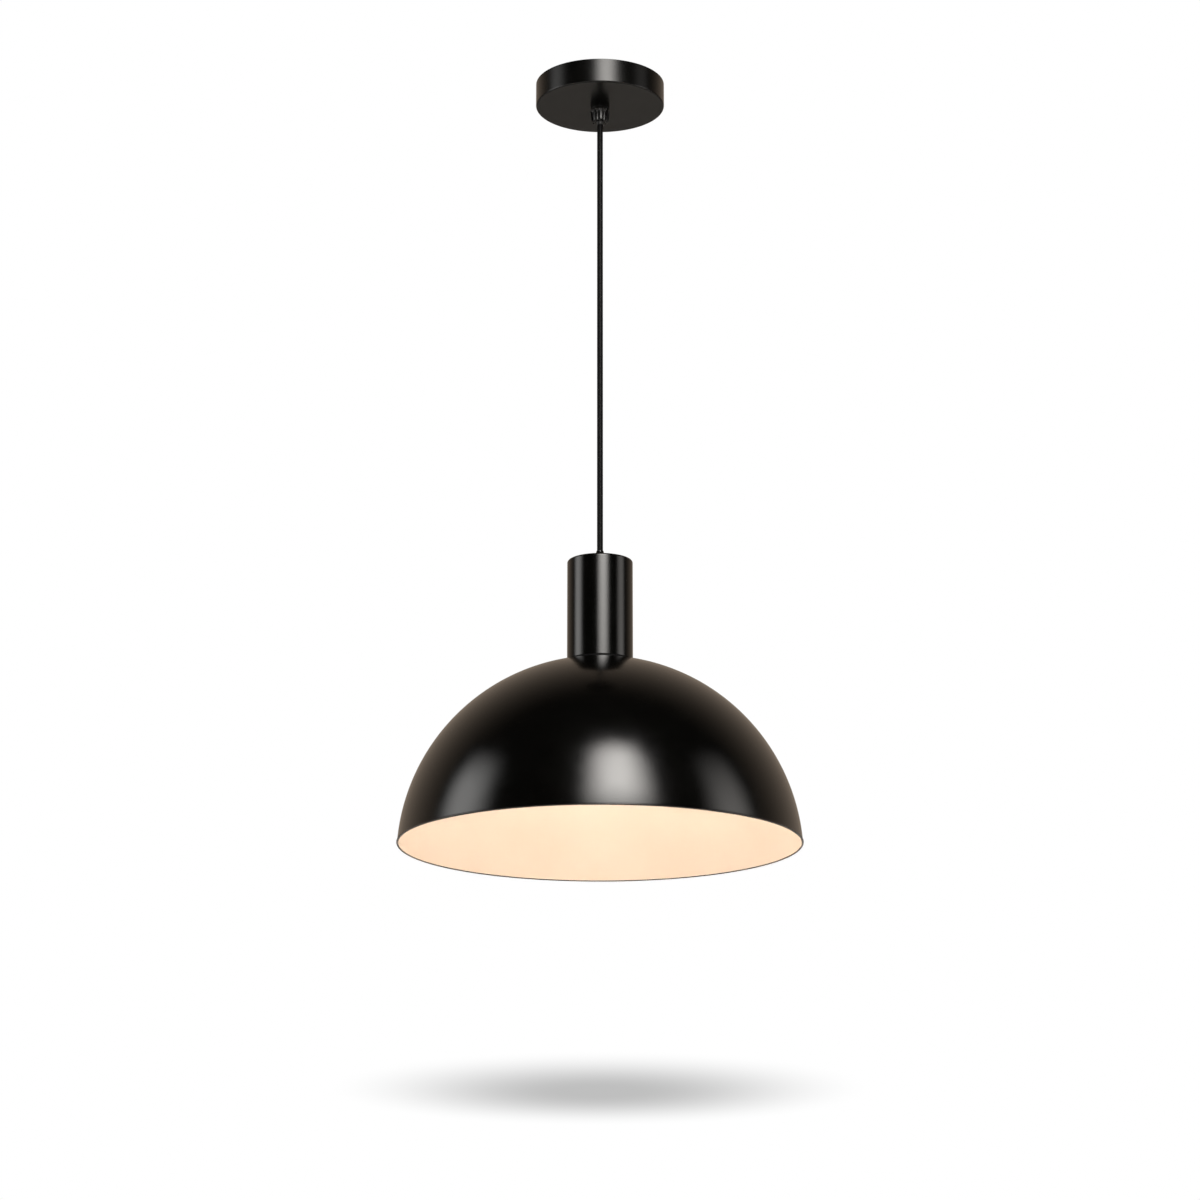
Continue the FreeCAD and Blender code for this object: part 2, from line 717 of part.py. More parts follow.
def cord(sheath_end):
    """The straight round cord, in the stretches that its two bends and its twist part it into."""
    tube = dim.cord_dia / 2
    room = dim.bend_room
    middle = (upper_pivot_level + lower_pivot_level) / 2
    head_end = cup_top - CORD_IN_HEAD
    stretches = [
        ("cord_top_end", upper_pivot_level + room, sheath_end),
        ("cord_upper_run", middle, upper_pivot_level - room),
        ("cord_lower_run", lower_pivot_level + room, middle),
        ("cord_bottom_end", head_end, lower_pivot_level - room),
    ]
    for name, low, high in stretches:
        keep(rod(name, tube, high - low, (ZERO, ZERO, low)), name)
    for name, level in (("cord_bend_upper", upper_pivot_level), ("cord_bend_lower", lower_pivot_level)):
        bend = doc.addObject("Part::Sphere", name)
        bind(bend, {"Radius": tube})
        keep(place(bend, z=level), name)
    return head_end



# ---------------------------------------------------------------- lamp head
def socket_cup():
    """A drawn steel tube, closed above, open below, that stands on the dome's seat."""
    outer, wall, edge = dim.cup_dia / 2, dim.cup_wall, dim.cup_edge
    top = dim.cup_height
    inner_edge = edge - wall
    hole = dim.stem_dia / 2 + 0.2
    corners = [
        (outer - wall, ZERO),
        (outer, ZERO),
        (outer, top - edge, edge),
        (outer - edge, top),
        (hole, top),
        (hole, top - wall),
        (outer - edge, top - wall, -inner_edge),
        (outer - wall, top - edge),
    ]
    keep(place(turned("socket_cup", corners), z=seat_level), "socket_cup")


def cup_fittings():
    """The bush on the cup, the threaded tube, its nuts and washer, and the cord's crimped collar."""
    stem, bore = dim.stem_dia / 2, cord_radius + CORD_GAP
    height = dim.bush_height
    widest, neck = 6.2, 4.9
    pocket_top = TUBE_ABOVE + 0.2
    corners = [
        (stem + SCREW_GAP, ZERO),
        (widest - 0.6, ZERO),
        (widest, 0.6),
        (widest, 4.2, 1.6),
        (neck, 5.6),
        (cord_radius + 1.05, height - 2),
        (cord_radius + 0.45, height),
        (bore, height),
        (bore, pocket_top),
        (stem + SCREW_GAP, pocket_top),
    ]
    keep(place(turned("cup_bush", corners), z=cup_top), "cup_bush")

    tube_top = cup_top + TUBE_ABOVE
    tube_low = seat_level + CAP_TOP - 6.5
    tube_bore = bore + 0.9
    corners = [(tube_bore, tube_low), (stem, tube_low), (stem, tube_top), (tube_bore, tube_top)]
    keep(turned("threaded_tube", corners), "threaded_tube")

    inside_top = cup_top - dim.cup_wall
    washer_bore, washer_radius, washer_sheet = stem + 0.1, 9, 0.8
    corners = [
        (washer_bore, ZERO),
        (washer_radius, ZERO),
        (washer_radius, washer_sheet),
        (washer_bore, washer_sheet),
    ]
    keep(place(turned("lock_washer", corners), z=inside_top - washer_sheet), "lock_washer")

    nut_height = 3
    nuts = []
    for level in (inside_top - washer_sheet - nut_height, seat_level + CAP_TOP):
        blank = hexagon("tube_nut_blank", NUT_FLATS, nut_height, (ZERO, ZERO, level))
        hole = rod("tube_nut_bore", stem + SCREW_GAP, nut_height + 2, (ZERO, ZERO, level - 1))
        nuts.append(less("tube_nut", blank, [hole]))
    keep(group("tube_nut_pair", nuts), "tube_nuts")

    collar_radius, collar_height = 4.6, 5
    collar_low = tube_low - collar_height
    ring = rod("collar_blank", collar_radius, collar_height, (ZERO, ZERO, collar_low))
    hole = rod("collar_bore", cord_radius + 0.02, collar_height + 2, (ZERO, ZERO, collar_low - 1))
    keep(less("collar", ring, [hole]), "strain_relief_collar")


def lampholder():
    """The E27 lampholder: metal cap, threaded skirt with its shoulder, insulator and screw shell."""
    skirt, bore = dim.skirt_dia / 2, dim.skirt_bore / 2
    drop, rise = dim.skirt_drop, dim.skirt_rise
    shoulder, shoulder_high = dim.shoulder_dia / 2, 2.5
    socket = INSULATOR_RADIUS + 0.3
    ledge = INSULATOR_LOW - 0.2
    corners = [
        (bore, -drop),
        (skirt - 1, -drop),
        (skirt, -drop + 1),
        (skirt, ZERO),
        (shoulder, ZERO),
        (shoulder, shoulder_high),
        (skirt, shoulder_high),
        (skirt, rise),
        (socket, rise),
        (socket, ledge),
        (bore, ledge),
    ]
    keep(place(turned("lampholder_skirt", corners), z=seat_level), "lampholder_skirt")

    inner = skirt + 0.15
    wall = 1.2
    boss, boss_neck, boss_top = dim.stem_dia / 2 + SCREW_GAP, 9.5, 8
    crown_start = 41.0
    corners = [
        (inner, CAP_LOW),
        (inner + wall, CAP_LOW),
        (inner + wall, crown_start, 13),
        (boss_neck, CAP_TOP - 4),
        (boss_top, CAP_TOP),
        (boss, CAP_TOP),
        (boss, CAP_TOP - 6),
        (boss_neck - 0.5, CAP_TOP - 6.2, -11.6),
        (inner, crown_start - 1),
    ]
    keep(place(turned("lampholder_cap", corners), z=seat_level), "lampholder_cap")

    low, high = seat_level + INSULATOR_LOW, seat_level + INSULATOR_TOP
    disc = rod("insulator_disc", INSULATOR_RADIUS, high - low, (ZERO, ZERO, low))
    slot_long, slot_wide, recess_radius, recess_deep = 6, 1.4, 13.2, 1.5
    cuts = [
        box("insulator_slot", slot_wide, slot_long, INSULATOR_TOP, (x, ZERO, high + 1))
        for x in (CENTRE_LEG, -SHELL_LEG)
    ]
    cuts.append(rod("insulator_recess", recess_radius, recess_deep + 1, (ZERO, ZERO, low - 1)))
    keep(less("insulator", disc, cuts), "socket_insulator")

    shell_in = dim.shell_bore / 2
    shell_out = shell_in + dim.shell_wall
    shell_low = -dim.skirt_drop + 2.2
    flange = shell_in - 1.2
    flange_low = SHELL_TOP - dim.shell_wall
    corners = [
        (shell_in, shell_low),
        (shell_out, shell_low),
        (shell_out, SHELL_TOP),
        (flange, SHELL_TOP),
        (flange, flange_low),
        (shell_in, flange_low),
    ]
    keep(place(turned("screw_shell", corners), z=seat_level), "screw_shell")


def lampholder_contacts():
    """Centre tongue, side contact and earth terminal, each with its screw terminal on the insulator."""
    high = seat_level + INSULATOR_TOP
    top = high + TERMINAL_HIGH
    contact_level = seat_level + dim.bulb_contact_rise + 0.3
    clamp_level = top - 2.6
    block_side = 6
    clamp_reach = 4.5
    screws = []

    def terminal(name, x, y, away, turn):
        """A brass block with a wire hole from above and a clamping screw from the side away."""
        block = box(f"{name}_block", block_side, block_side, TERMINAL_HIGH, (x, y, top))
        wire_hole = rod(f"{name}_wire_hole", dim.core_dia / 2 + 0.1, 5, (x, y, top - 4.5))
        start = (x + away[0] * clamp_reach, y + away[1] * clamp_reach, clamp_level)
        tap = rod(f"{name}_tap", 1.05, clamp_reach, start, turn)
        shank = rod(f"{name}_shank", 1.0, clamp_reach - dim.core_dia / 2 - 0.2, start, turn)
        head = rod(f"{name}_head", 1.9, 1.3, start, turn)
        screws.append(joined(f"{name}_screw", [shank, head]))
        return block, [wire_hole, tap]

    front = ((0, -1), ALONG_Y)
    block, cuts = terminal("centre", CENTRE_LEG, 0, *front)
    leg = box("centre_leg", 0.8, 5, high - contact_level + 1, (CENTRE_LEG, ZERO, high + 1))
    tongue_at = (CENTRE_LEG / 2 - 0.9, ZERO, contact_level + 0.6)
    tongue = box("centre_tongue", CENTRE_LEG + 2.6, 5, 0.6, tongue_at)
    keep(less("centre", joined("centre_blank", [block, leg, tongue]), cuts), "centre_contact")

    block, cuts = terminal("side", -CENTRE_LEG, 0, *front)
    leg_low = seat_level + 4
    leg = box("side_leg", 0.6, 4, high - leg_low + 1, (-SHELL_LEG, ZERO, high + 1))
    foot_at = (-(SHELL_LEG + CENTRE_LEG) / 2, ZERO, high + 0.8)
    foot = box("side_foot", SHELL_LEG - CENTRE_LEG + 0.3, 4, 0.8, foot_at)
    keep(less("side", joined("side_blank", [block, leg, foot]), cuts), "shell_contact")

    block, cuts = terminal("earth", 0, EARTH_TERMINAL, (-1, 0), ALONG_X)
    tongue_end = dim.skirt_dia / 2 - 0.1
    tongue_long = tongue_end - EARTH_TERMINAL
    tongue_at = (ZERO, EARTH_TERMINAL + tongue_long / 2, high + 0.8)
    tongue = box("earth_tongue", 4, tongue_long, 0.8, tongue_at)
    keep(less("earth", joined("earth_terminal_blank", [block, tongue]), cuts), "earth_terminal")
    keep(group("contact_screws", screws), "socket_terminal_screws")
    return top


def lampholder_wires(terminal_top, head_end):
    """The cord's three cores inside the lampholder cap, down into the three terminals."""
    across = terminal_top + 2.4
    ends = (
        ("socket_live_wire", 0, CENTRE_LEG, 0),
        ("socket_neutral_wire", 180, -CENTRE_LEG, 0),
        ("socket_earth_wire", 90, 0, EARTH_TERMINAL),
    )
    for name, angle, x, y in ends:
        start_x, start_y, level = core_start(angle, head_end)
        points = [
            (start_x, start_y, level),
            (start_x, start_y, across),
            (x, y, across),
            (x, y, terminal_top - 4),
        ]
        wire(name, points, dim.core_dia.value, SOCKET_BEND)


# ---------------------------------------------------------------- shade
def shade():
    """The spun dome: spherical, a flat seat for the cup, and a small lip rolled outwards at the rim."""
    radius, wall = dim.dome_radius, dim.dome_wall
    inner = radius - wall
    lip = dim.lip_section / 2
    lip_centre = dim.lip_dia / 2 - lip
    outer_foot = other_leg(radius, sphere_drop + dim.lip_section)
    lip_meets = lip + other_leg(lip, outer_foot - lip_centre)
    inner_foot = other_leg(inner, sphere_drop + ZERO)
    seat = dim.seat_dia / 2
    hole = dim.seat_hole / 2
    seat_under = seat_height - wall
    seat_inner = other_leg(inner, seat_under + sphere_drop)
    corners = [
        (inner_foot, ZERO),
        (lip_centre, ZERO, lip),
        (dim.lip_dia / 2, lip, lip),
        (outer_foot, lip_meets, radius),
        (seat, seat_height),
        (hole, seat_height),
        (hole, seat_under),
        (seat_inner, seat_under, -inner),
    ]
    keep(place(turned("shade", corners), z=rim_level), "shade")


def shade_ring():
    """The threaded ring that clamps the dome to the lampholder's shoulder, and its washer."""
    seat_under = seat_level - dim.dome_wall
    outer, bore = dim.ring_dia / 2, dim.ring_bore / 2
    sheet_t = dim.washer_sheet
    corners = [
        (bore + 0.2, -sheet_t),
        (outer - 0.5, -sheet_t),
        (outer - 0.5, ZERO),
        (bore + 0.2, ZERO),
    ]
    keep(place(turned("shade_ring_washer", corners), z=seat_under), "shade_ring_washer")

    collar = bore + 3
    corners = [
        (bore, -RING_HEIGHT),
        (collar - 0.4, -RING_HEIGHT),
        (collar, -RING_HEIGHT + 0.4),
        (collar, -3),
        (outer - 0.6, -2.4),
        (outer, -1.8),
        (outer, -0.5),
        (outer - 0.5, ZERO),
        (bore, ZERO),
    ]
    ring = turned("shade_ring", corners)

    def draw_notch(notch):
        draw_circle(notch, outer + 1.2, 0, 2)

    cut_through(ring, "ring_notch", draw_notch, "XY_Plane", RING_HEIGHT * 2 + 2, times=RING_NOTCHES)
    keep(place(ring, z=seat_under - sheet_t), "shade_ring")


# ---------------------------------------------------------------- bulb
def bulb():
    """An A60 bulb about its own zero, the top of its centre contact."""
    tip = seat_level + dim.bulb_contact_rise
    cap = dim.bulb_cap_dia / 2
    cap_wall = 0.8
    cap_inside = cap - cap_wall
    cap_mouth = cap - 2.4
    corners = [
        (cap_inside, -BULB_CAP_LOW),
        (cap, -BULB_CAP_LOW),
        (cap, -BULB_CAP_TOP - 1, 1),
        (cap - 1, -BULB_CAP_TOP),
        (cap_mouth, -BULB_CAP_TOP),
        (cap_mouth, -BULB_CAP_TOP - 0.6),
        (cap_inside, -BULB_CAP_TOP - 1.2),
    ]
    keep(place(turned("bulb_cap", corners), z=tip), "bulb_cap")

    contact_low, contact_radius = -1.9, 4.8
    corners = [
        (ZERO, -BULB_CAP_TOP - 0.5),
        (cap_mouth - 0.1, -BULB_CAP_TOP - 0.5),
        (cap_mouth - 0.1, -BULB_CAP_TOP + 0.4),
        (contact_radius + 0.6, contact_low),
        (ZERO, contact_low),
    ]
    keep(place(turned("bulb_insulator", corners), z=tip), "bulb_insulator")

    corners = [
        (ZERO, contact_low),
        (contact_radius, contact_low),
        (contact_radius, -0.8, 3.2),
        (contact_radius - 1.4, ZERO),
        (ZERO, ZERO),
    ]
    keep(place(turned("bulb_contact", corners), z=tip), "bulb_contact")

    globe = dim.bulb_dia / 2
    globe_middle = -dim.bulb_length + globe
    split = globe_middle + BULB_SPLIT
    split_radius = other_leg(globe, BULB_SPLIT)
    housing_wall = 1.6
    housing_top = -BULB_CAP_LOW - 0.2
    inside_split = split_radius - housing_wall
    sweep = 60
    corners = [
        (BULB_NECK - housing_wall, housing_top),
        (BULB_NECK, housing_top),
        (BULB_NECK, housing_top - 2.8, -sweep),
        (split_radius, split),
        (inside_split, split, sweep),
        (BULB_NECK - housing_wall, housing_top - 3.2),
    ]
    keep(place(turned("bulb_housing", corners), z=tip), "bulb_housing")

    diffuser_wall = 1.2
    inside = globe - diffuser_wall
    corners = [
        (ZERO, -dim.bulb_length, globe),
        (globe, globe_middle, globe),
        (split_radius, split),
        (other_leg(inside, BULB_SPLIT), split, -inside),
        (inside, globe_middle, -inside),
        (ZERO, -dim.bulb_length + diffuser_wall),
    ]
    keep(place(turned("bulb_diffuser", corners), z=tip), "bulb_diffuser")

    board, board_gap, chip, chip_circle = 1.6, 0.6, 3, 16
    board_low = tip + split + board_gap
    disc = rod("board_disc", inside_split - board_gap, board, (ZERO, ZERO, board_low))
    chips = []
    for number in range(LED_CHIPS):
        angle = 2 * math.pi * number / LED_CHIPS
        chip_at = (chip_circle * math.cos(angle), chip_circle * math.sin(angle), board_low + 0.4)
        chips.append(box("led_chip", chip, chip, 1, chip_at))
    keep(joined("board", [disc, *chips]), "led_board")

    low = board_low + board
    plate_high, plate_wall = 30, 1.2
    plate = box("driver_plate", 14, plate_wall, plate_high, (ZERO, ZERO, low + plate_high))
    capacitor = rod("driver_capacitor", 4, 12, (ZERO, 4.3, low + 4))
    choke = box("driver_choke", 8, 6, 8, (ZERO, -3.4, low + 15))
    keep(joined("driver", [plate, capacitor, choke]), "bulb_driver")


# ---------------------------------------------------------------- build, check, write
mounting_bracket()
canopy_cover()
canopy_side_screws()
canopy_grip()
pole_level = terminal_block()
lug_x, lug_level = earth_point()
sheath_end = canopy_wires(pole_level, lug_x, lug_level)
head_end = cord(sheath_end)
socket_cup()
cup_fittings()
lampholder()
terminal_top = lampholder_contacts()
lampholder_wires(terminal_top, head_end)
shade()
shade_ring()
bulb()
doc.recompute()

for thing in doc.Objects:
    if {"Invalid", "Error"} & set(thing.State):
        raise RuntimeError(f"{thing.Name} failed: {thing.State}")
for piece in pieces:
    if piece.Shape.isNull() or not piece.Shape.isValid():
        raise RuntimeError(f"{piece.Label} has no valid shape")

os.makedirs("parts", exist_ok=True)
for piece in pieces:
    piece.Shape.exportStep(f"parts/{piece.Label}.step")

print(f"{len(pieces)} sub-parts")
print(f"seat level {seat_level.value:.3f}, cup top {cup_top.value:.3f}")
print(f"bends at {upper_pivot_level.value:.3f} and {lower_pivot_level.value:.3f}")
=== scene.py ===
"""Looks of the pendant light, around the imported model. Metres, +Z up, origin on the ceiling."""

import json
import math

import bmesh
import bpy
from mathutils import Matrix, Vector


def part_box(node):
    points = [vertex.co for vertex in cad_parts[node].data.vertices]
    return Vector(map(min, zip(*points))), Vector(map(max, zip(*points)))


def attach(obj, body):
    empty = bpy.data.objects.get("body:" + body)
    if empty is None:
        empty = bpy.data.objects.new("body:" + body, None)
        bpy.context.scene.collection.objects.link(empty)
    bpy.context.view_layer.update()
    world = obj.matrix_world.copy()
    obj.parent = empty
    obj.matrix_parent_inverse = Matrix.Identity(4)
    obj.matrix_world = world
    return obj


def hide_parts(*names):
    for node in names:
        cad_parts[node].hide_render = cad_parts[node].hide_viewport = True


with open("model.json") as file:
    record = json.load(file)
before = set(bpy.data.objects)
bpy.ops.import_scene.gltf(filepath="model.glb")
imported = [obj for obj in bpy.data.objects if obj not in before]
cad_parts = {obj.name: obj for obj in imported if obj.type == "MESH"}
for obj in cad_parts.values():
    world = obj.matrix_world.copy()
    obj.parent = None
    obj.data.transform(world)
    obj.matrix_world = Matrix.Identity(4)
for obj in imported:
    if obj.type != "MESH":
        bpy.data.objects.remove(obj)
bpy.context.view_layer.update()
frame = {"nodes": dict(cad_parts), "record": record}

MM = 0.001
DEG = math.pi / 180

# ---------------------------------------------------------------- chosen values
# Camera, in metres, millimetres and degrees, as fitted to the photograph's outlines
CAMERA_PLACE = (0, -2.9595, -1.2954)
CAMERA_TILT = 15.02
LENS, SENSOR = 101.94, 36

# The light itself, in millimetres and degrees
THREAD_PITCH = {"bulb": 3.629, "shade_ring": 2.5}
FLUTES, FLUTE_DEPTH, FLUTE_PHASE = 8, 1.75, 7
COLLET_FINGERS, COLLET_SLIT = 6, 0.7
RING_NOTCHES, NOTCH_DEPTH = 24, 0.8
SHEET = {"canopy": 1.0, "cup": 1.2, "shade": 1.2}
ENTRY_HOLE = 5.2
SIDE_SCREW_HOLE = 2.12
DOME_RADIUS, DOME_DROP, LIP_RADIUS = 179.8, 11.8, 0.95
MASKED_EDGE = 0.8
SEAM = 0.01
BULB_GLOW = 40.0

# The stage, in metres
LIT_HEIGHT = -0.6
LIT_REACH = 0.15
FLOOR, FLOOR_RADIUS = -0.943, 9
# Painted shadow on the floor under the light: full depth inside the core, gone at the reach across
# and along; the depth is how much it darkens
PAINTED_SHADOW_CORE, PAINTED_SHADOW_ACROSS, PAINTED_SHADOW_ALONG = 0.026, 0.239, 0.275
PAINTED_SHADOW_DEPTH = 0.48


# ---------------------------------------------------------------- places, read from the frame
def levels(node):
    """Lowest and highest Z of a CAD node."""
    low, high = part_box(node)
    return low[2], high[2]


def radius_of(node):
    """Largest radius of a round CAD node about the light's axis."""
    low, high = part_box(node)
    return max(abs(x) for x in (low[0], low[1], high[0], high[1]))


CUP_FOOT, CUP_TOP = levels("socket_cup")
RIM = levels("shade")[0]
CANOPY_LOW = levels("canopy_cover")[0]
UPPER_BEND = sum(levels("cord_bend_upper")) / 2
LOWER_BEND = sum(levels("cord_bend_lower")) / 2
CORD_RADIUS = radius_of("cord_upper_run")


# ---------------------------------------------------------------- camera
def camera():
    """The photograph's viewpoint: below the shade, looking slightly up."""
    data = bpy.data.cameras.new("camera")
    data.sensor_width = SENSOR
    data.lens = LENS
    seen_by = bpy.data.objects.new("camera", data)
    seen_by.location = CAMERA_PLACE
    seen_by.rotation_euler = ((90 + CAMERA_TILT) * DEG, 0, 0)
    bpy.context.scene.collection.objects.link(seen_by)
    bpy.context.scene.camera = seen_by
    bpy.context.scene.view_settings.view_transform = "Standard"


# ---------------------------------------------------------------- materials
class Nodes:
    """Short-hand for building one material's nodes."""

    def __init__(self, name):
        self.material = bpy.data.materials.new(name)
        self.material.use_nodes = True
        self.tree = self.material.node_tree
        self.shader = self.tree.nodes["Principled BSDF"]
        self.where = self.add("ShaderNodeTexCoord").outputs["Object"]

    def add(self, kind, links=(), **settings):
        node = self.tree.nodes.new(kind)
        for key, value in settings.items():
            setattr(node, key, value)
        for socket, source in dict(links).items():
            self.tree.links.new(source, node.inputs[socket])
        return node

    def noise(self, scale, detail=3.0, rough=0.5, where=None):
        node = self.add("ShaderNodeTexNoise", {"Vector": where or self.where})
        node.inputs["Scale"].default_value = scale
        node.inputs["Detail"].default_value = detail
        node.inputs["Roughness"].default_value = rough
        return node.outputs["Fac"]

    def stretched(self, x, y, z):
        """Object coordinates scaled unevenly, for grain that runs one way."""
        node = self.add("ShaderNodeMapping", {"Vector": self.where})
        node.inputs["Scale"].default_value = (x, y, z)
        return node.outputs["Vector"]

    def spread(self, value, low, high):
        """Map the middle of a noise to low..high."""
        node = self.add("ShaderNodeMapRange", {"Value": value})
        node.inputs["From Min"].default_value = 0.3
        node.inputs["From Max"].default_value = 0.7
        node.inputs["To Min"].default_value = low
        node.inputs["To Max"].default_value = high
        return node.outputs["Result"]

    def blend(self, factor, first, second):
        node = self.add("ShaderNodeMix", data_type="RGBA")
        self.tree.links.new(factor, node.inputs["Factor"])
        for socket, value in (("A", first), ("B", second)):
            place = [i for i in node.inputs if i.name == socket and i.type == "RGBA"][0]
            if isinstance(value, tuple):
                place.default_value = (*value, 1)
            else:
                self.tree.links.new(value, place)
        return [o for o in node.outputs if o.type == "RGBA"][0]

    def bump(self, height, distance, after=None):
        node = self.add("ShaderNodeBump", {"Height": height})
        node.inputs["Distance"].default_value = distance
        node.inputs["Strength"].default_value = 1.0
        if after:
            self.tree.links.new(after, node.inputs["Normal"])
        return node.outputs["Normal"]

    def finish(self, links=(), **values):
        for socket, source in dict(links).items():
            self.tree.links.new(source, self.shader.inputs[socket])
        for key, value in values.items():
            self.shader.inputs[key.replace("_", " ")].default_value = value
        return self.material


def black_paint(name, rough_low, rough_high, shine):
    """Satin powder coat: near black and warm, with a fine orange peel and slightly uneven gloss."""
    n = Nodes(name)
    cloud = n.noise(18, 4)
    peel = n.noise(900, 2)
    grain = n.noise(5200, 2)
    colour = n.blend(n.spread(cloud, 0, 1), (0.0006, 0.0006, 0.0005), (0.0010, 0.0009, 0.0008))
    rough = n.spread(n.noise(60, 5), rough_low, rough_high)
    relief = n.bump(grain, 0.000006, after=n.bump(peel, 0.00003))
    links = {"Base Color": colour, "Roughness": rough, "Normal": relief}
    return n.finish(links, Specular_IOR_Level=shine)


def white_lining():
    """Satin white stove enamel, the same peel, a little warm and uneven."""
    n = Nodes("white_lining")
    colour = n.blend(n.spread(n.noise(14, 5), 0, 1), (0.75, 0.74, 0.715), (0.80, 0.79, 0.77))
    rough = n.spread(n.noise(70, 4), 0.44, 0.54)
    relief = n.bump(n.noise(4200, 2), 0.00001, after=n.bump(n.noise(800, 2), 0.00004))
    links = {"Base Color": colour, "Roughness": rough, "Normal": relief}
    return n.finish(links, Specular_IOR_Level=0.9)


NYLON_TONES = (0.0015, 0.0015, 0.0015), (0.0035, 0.0034, 0.0033)


def black_plastic():
    """Moulded black nylon with a fine spark-eroded grain and faint flow clouds."""
    n = Nodes("black_plastic")
    colour = n.blend(n.spread(n.noise(120, 4), 0, 1), *NYLON_TONES)
    rough = n.spread(n.noise(500, 4), 0.15, 0.22)
    links = {"Base Color": colour, "Roughness": rough, "Normal": n.bump(n.noise(6000, 3), 0.00001)}
    return n.finish(links, Specular_IOR_Level=0.36)


def cord_sheath():
    """Extruded black PVC: fine lines along the cord, the cores' lay showing through faintly."""
    n = Nodes("cord_sheath")
    lines = n.noise(1, 3, where=n.stretched(2600, 2600, 30))
    patches = n.noise(1, 4, where=n.stretched(160, 160, 24))
    colour = n.blend(n.spread(patches, 0, 1), (0.0008, 0.0008, 0.0009), (0.0015, 0.0015, 0.0017))
    rough = n.spread(lines, 0.44, 0.52)
    links = {"Base Color": colour, "Roughness": rough, "Normal": n.bump(lines, 0.000006)}
    return n.finish(links, Specular_IOR_Level=0.10)


def zinc_steel():
    """Blue-white zinc plating: crystalline clouds, brushed faintly, a few dull patches."""
    n = Nodes("zinc_steel")
    clouds = n.noise(260, 6, 0.6)
    streaks = n.noise(1, 3, where=n.stretched(60, 2400, 900))
    colour = n.blend(n.spread(clouds, 0, 1), (0.50, 0.52, 0.54), (0.68, 0.69, 0.69))
    rough = n.spread(clouds, 0.28, 0.46)
    relief = n.bump(streaks, 0.000012, after=n.bump(clouds, 0.00002))
    return n.finish({"Base Color": colour, "Roughness": rough, "Normal": relief}, Metallic=1.0)


def brass():
    """Machined brass, lightly tarnished in clouds, with fine tool lines."""
    n = Nodes("brass")
    clouds = n.noise(340, 5)
    colour = n.blend(n.spread(clouds, 0, 1), (0.52, 0.36, 0.14), (0.78, 0.60, 0.27))
    relief = n.bump(n.noise(1, 2, where=n.stretched(500, 500, 9000)), 0.00001)
    rough = n.spread(clouds, 0.42, 0.24)
    return n.finish({"Base Color": colour, "Roughness": rough, "Normal": relief}, Metallic=1.0)


def nickel_shell():
    """Rolled nickel-plated sheet with drawn lines round it."""
    n = Nodes("nickel_shell")
    lines = n.noise(1, 3, where=n.stretched(120, 120, 9000))
    clouds = n.noise(300, 4)
    colour = n.blend(n.spread(clouds, 0, 1), (0.58, 0.56, 0.52), (0.74, 0.72, 0.67))
    rough = n.spread(clouds, 0.20, 0.36)
    links = {"Base Color": colour, "Roughness": rough, "Normal": n.bump(lines, 0.000012)}
    return n.finish(links, Metallic=1.0)


def moulded(name, dark, light, rough_low=0.35, rough_high=0.5, grain=0.00002):
    """A moulded plastic or ceramic: two close tones in clouds, fine grain."""
    n = Nodes(name)
    colour = n.blend(n.spread(n.noise(150, 5), 0, 1), dark, light)
    rough = n.spread(n.noise(700, 3), rough_low, rough_high)
    relief = n.bump(n.noise(5000, 3), grain)
    return n.finish({"Base Color": colour, "Roughness": rough, "Normal": relief})


def fibre():
    """Vulcanised fibre: matt red-brown with short pressed fibres."""
    n = Nodes("fibre")
    fibres = n.noise(1, 5, 0.65, where=n.stretched(2600, 700, 2600))
    colour = n.blend(n.spread(fibres, 0, 1), (0.30, 0.14, 0.08), (0.46, 0.25, 0.15))
    relief = n.bump(fibres, 0.00005)
    return n.finish({"Base Color": colour, "Normal": relief}, Roughness=0.75)


def opal():
    """The bulb's lit opal plastic, warm white, in faint clouds of tone."""
    n = Nodes("opal")
    cloud = n.noise(30, 3)
    colour = n.blend(n.spread(cloud, 0, 1), (0.93, 0.90, 0.84), (0.96, 0.94, 0.90))
    glow = n.blend(n.spread(cloud, 0, 1), (1.0, 0.71, 0.51), (1.0, 0.74, 0.55))
    relief = n.bump(n.noise(3000, 2), 0.00001)
    links = {"Base Color": colour, "Emission Color": glow, "Normal": relief}
    return n.finish(links, Roughness=0.4, Emission_Strength=BULB_GLOW)


def board():
    """White solder mask with a faint weave under it."""
    n = Nodes("board")
    weave = n.noise(1, 2, where=n.stretched(1800, 1800, 200))
    colour = n.blend(n.spread(weave, 0, 1), (0.70, 0.71, 0.68), (0.82, 0.82, 0.79))
    return n.finish({"Base Color": colour, "Normal": n.bump(weave, 0.00002)}, Roughness=0.4)


MOULDED = {
    "grained_plastic": NYLON_TONES,
    "block_plastic": ((0.70, 0.69, 0.65), (0.78, 0.77, 0.73)),
    "ceramic_insulator": ((0.72, 0.69, 0.62), (0.82, 0.80, 0.74), 0.5, 0.7, 0.00005),
    "cap_insulator": ((0.012, 0.012, 0.015), (0.02, 0.02, 0.024), 0.08, 0.16, 0.00001),
    "live_core": ((0.14, 0.055, 0.022), (0.19, 0.075, 0.03)),
    "neutral_core": ((0.02, 0.10, 0.36), (0.03, 0.14, 0.46)),
    "earth_core": ((0.18, 0.36, 0.03), (0.24, 0.45, 0.05)),
    "white_plastic": ((0.76, 0.76, 0.74), (0.82, 0.82, 0.80), 0.32, 0.45),
}


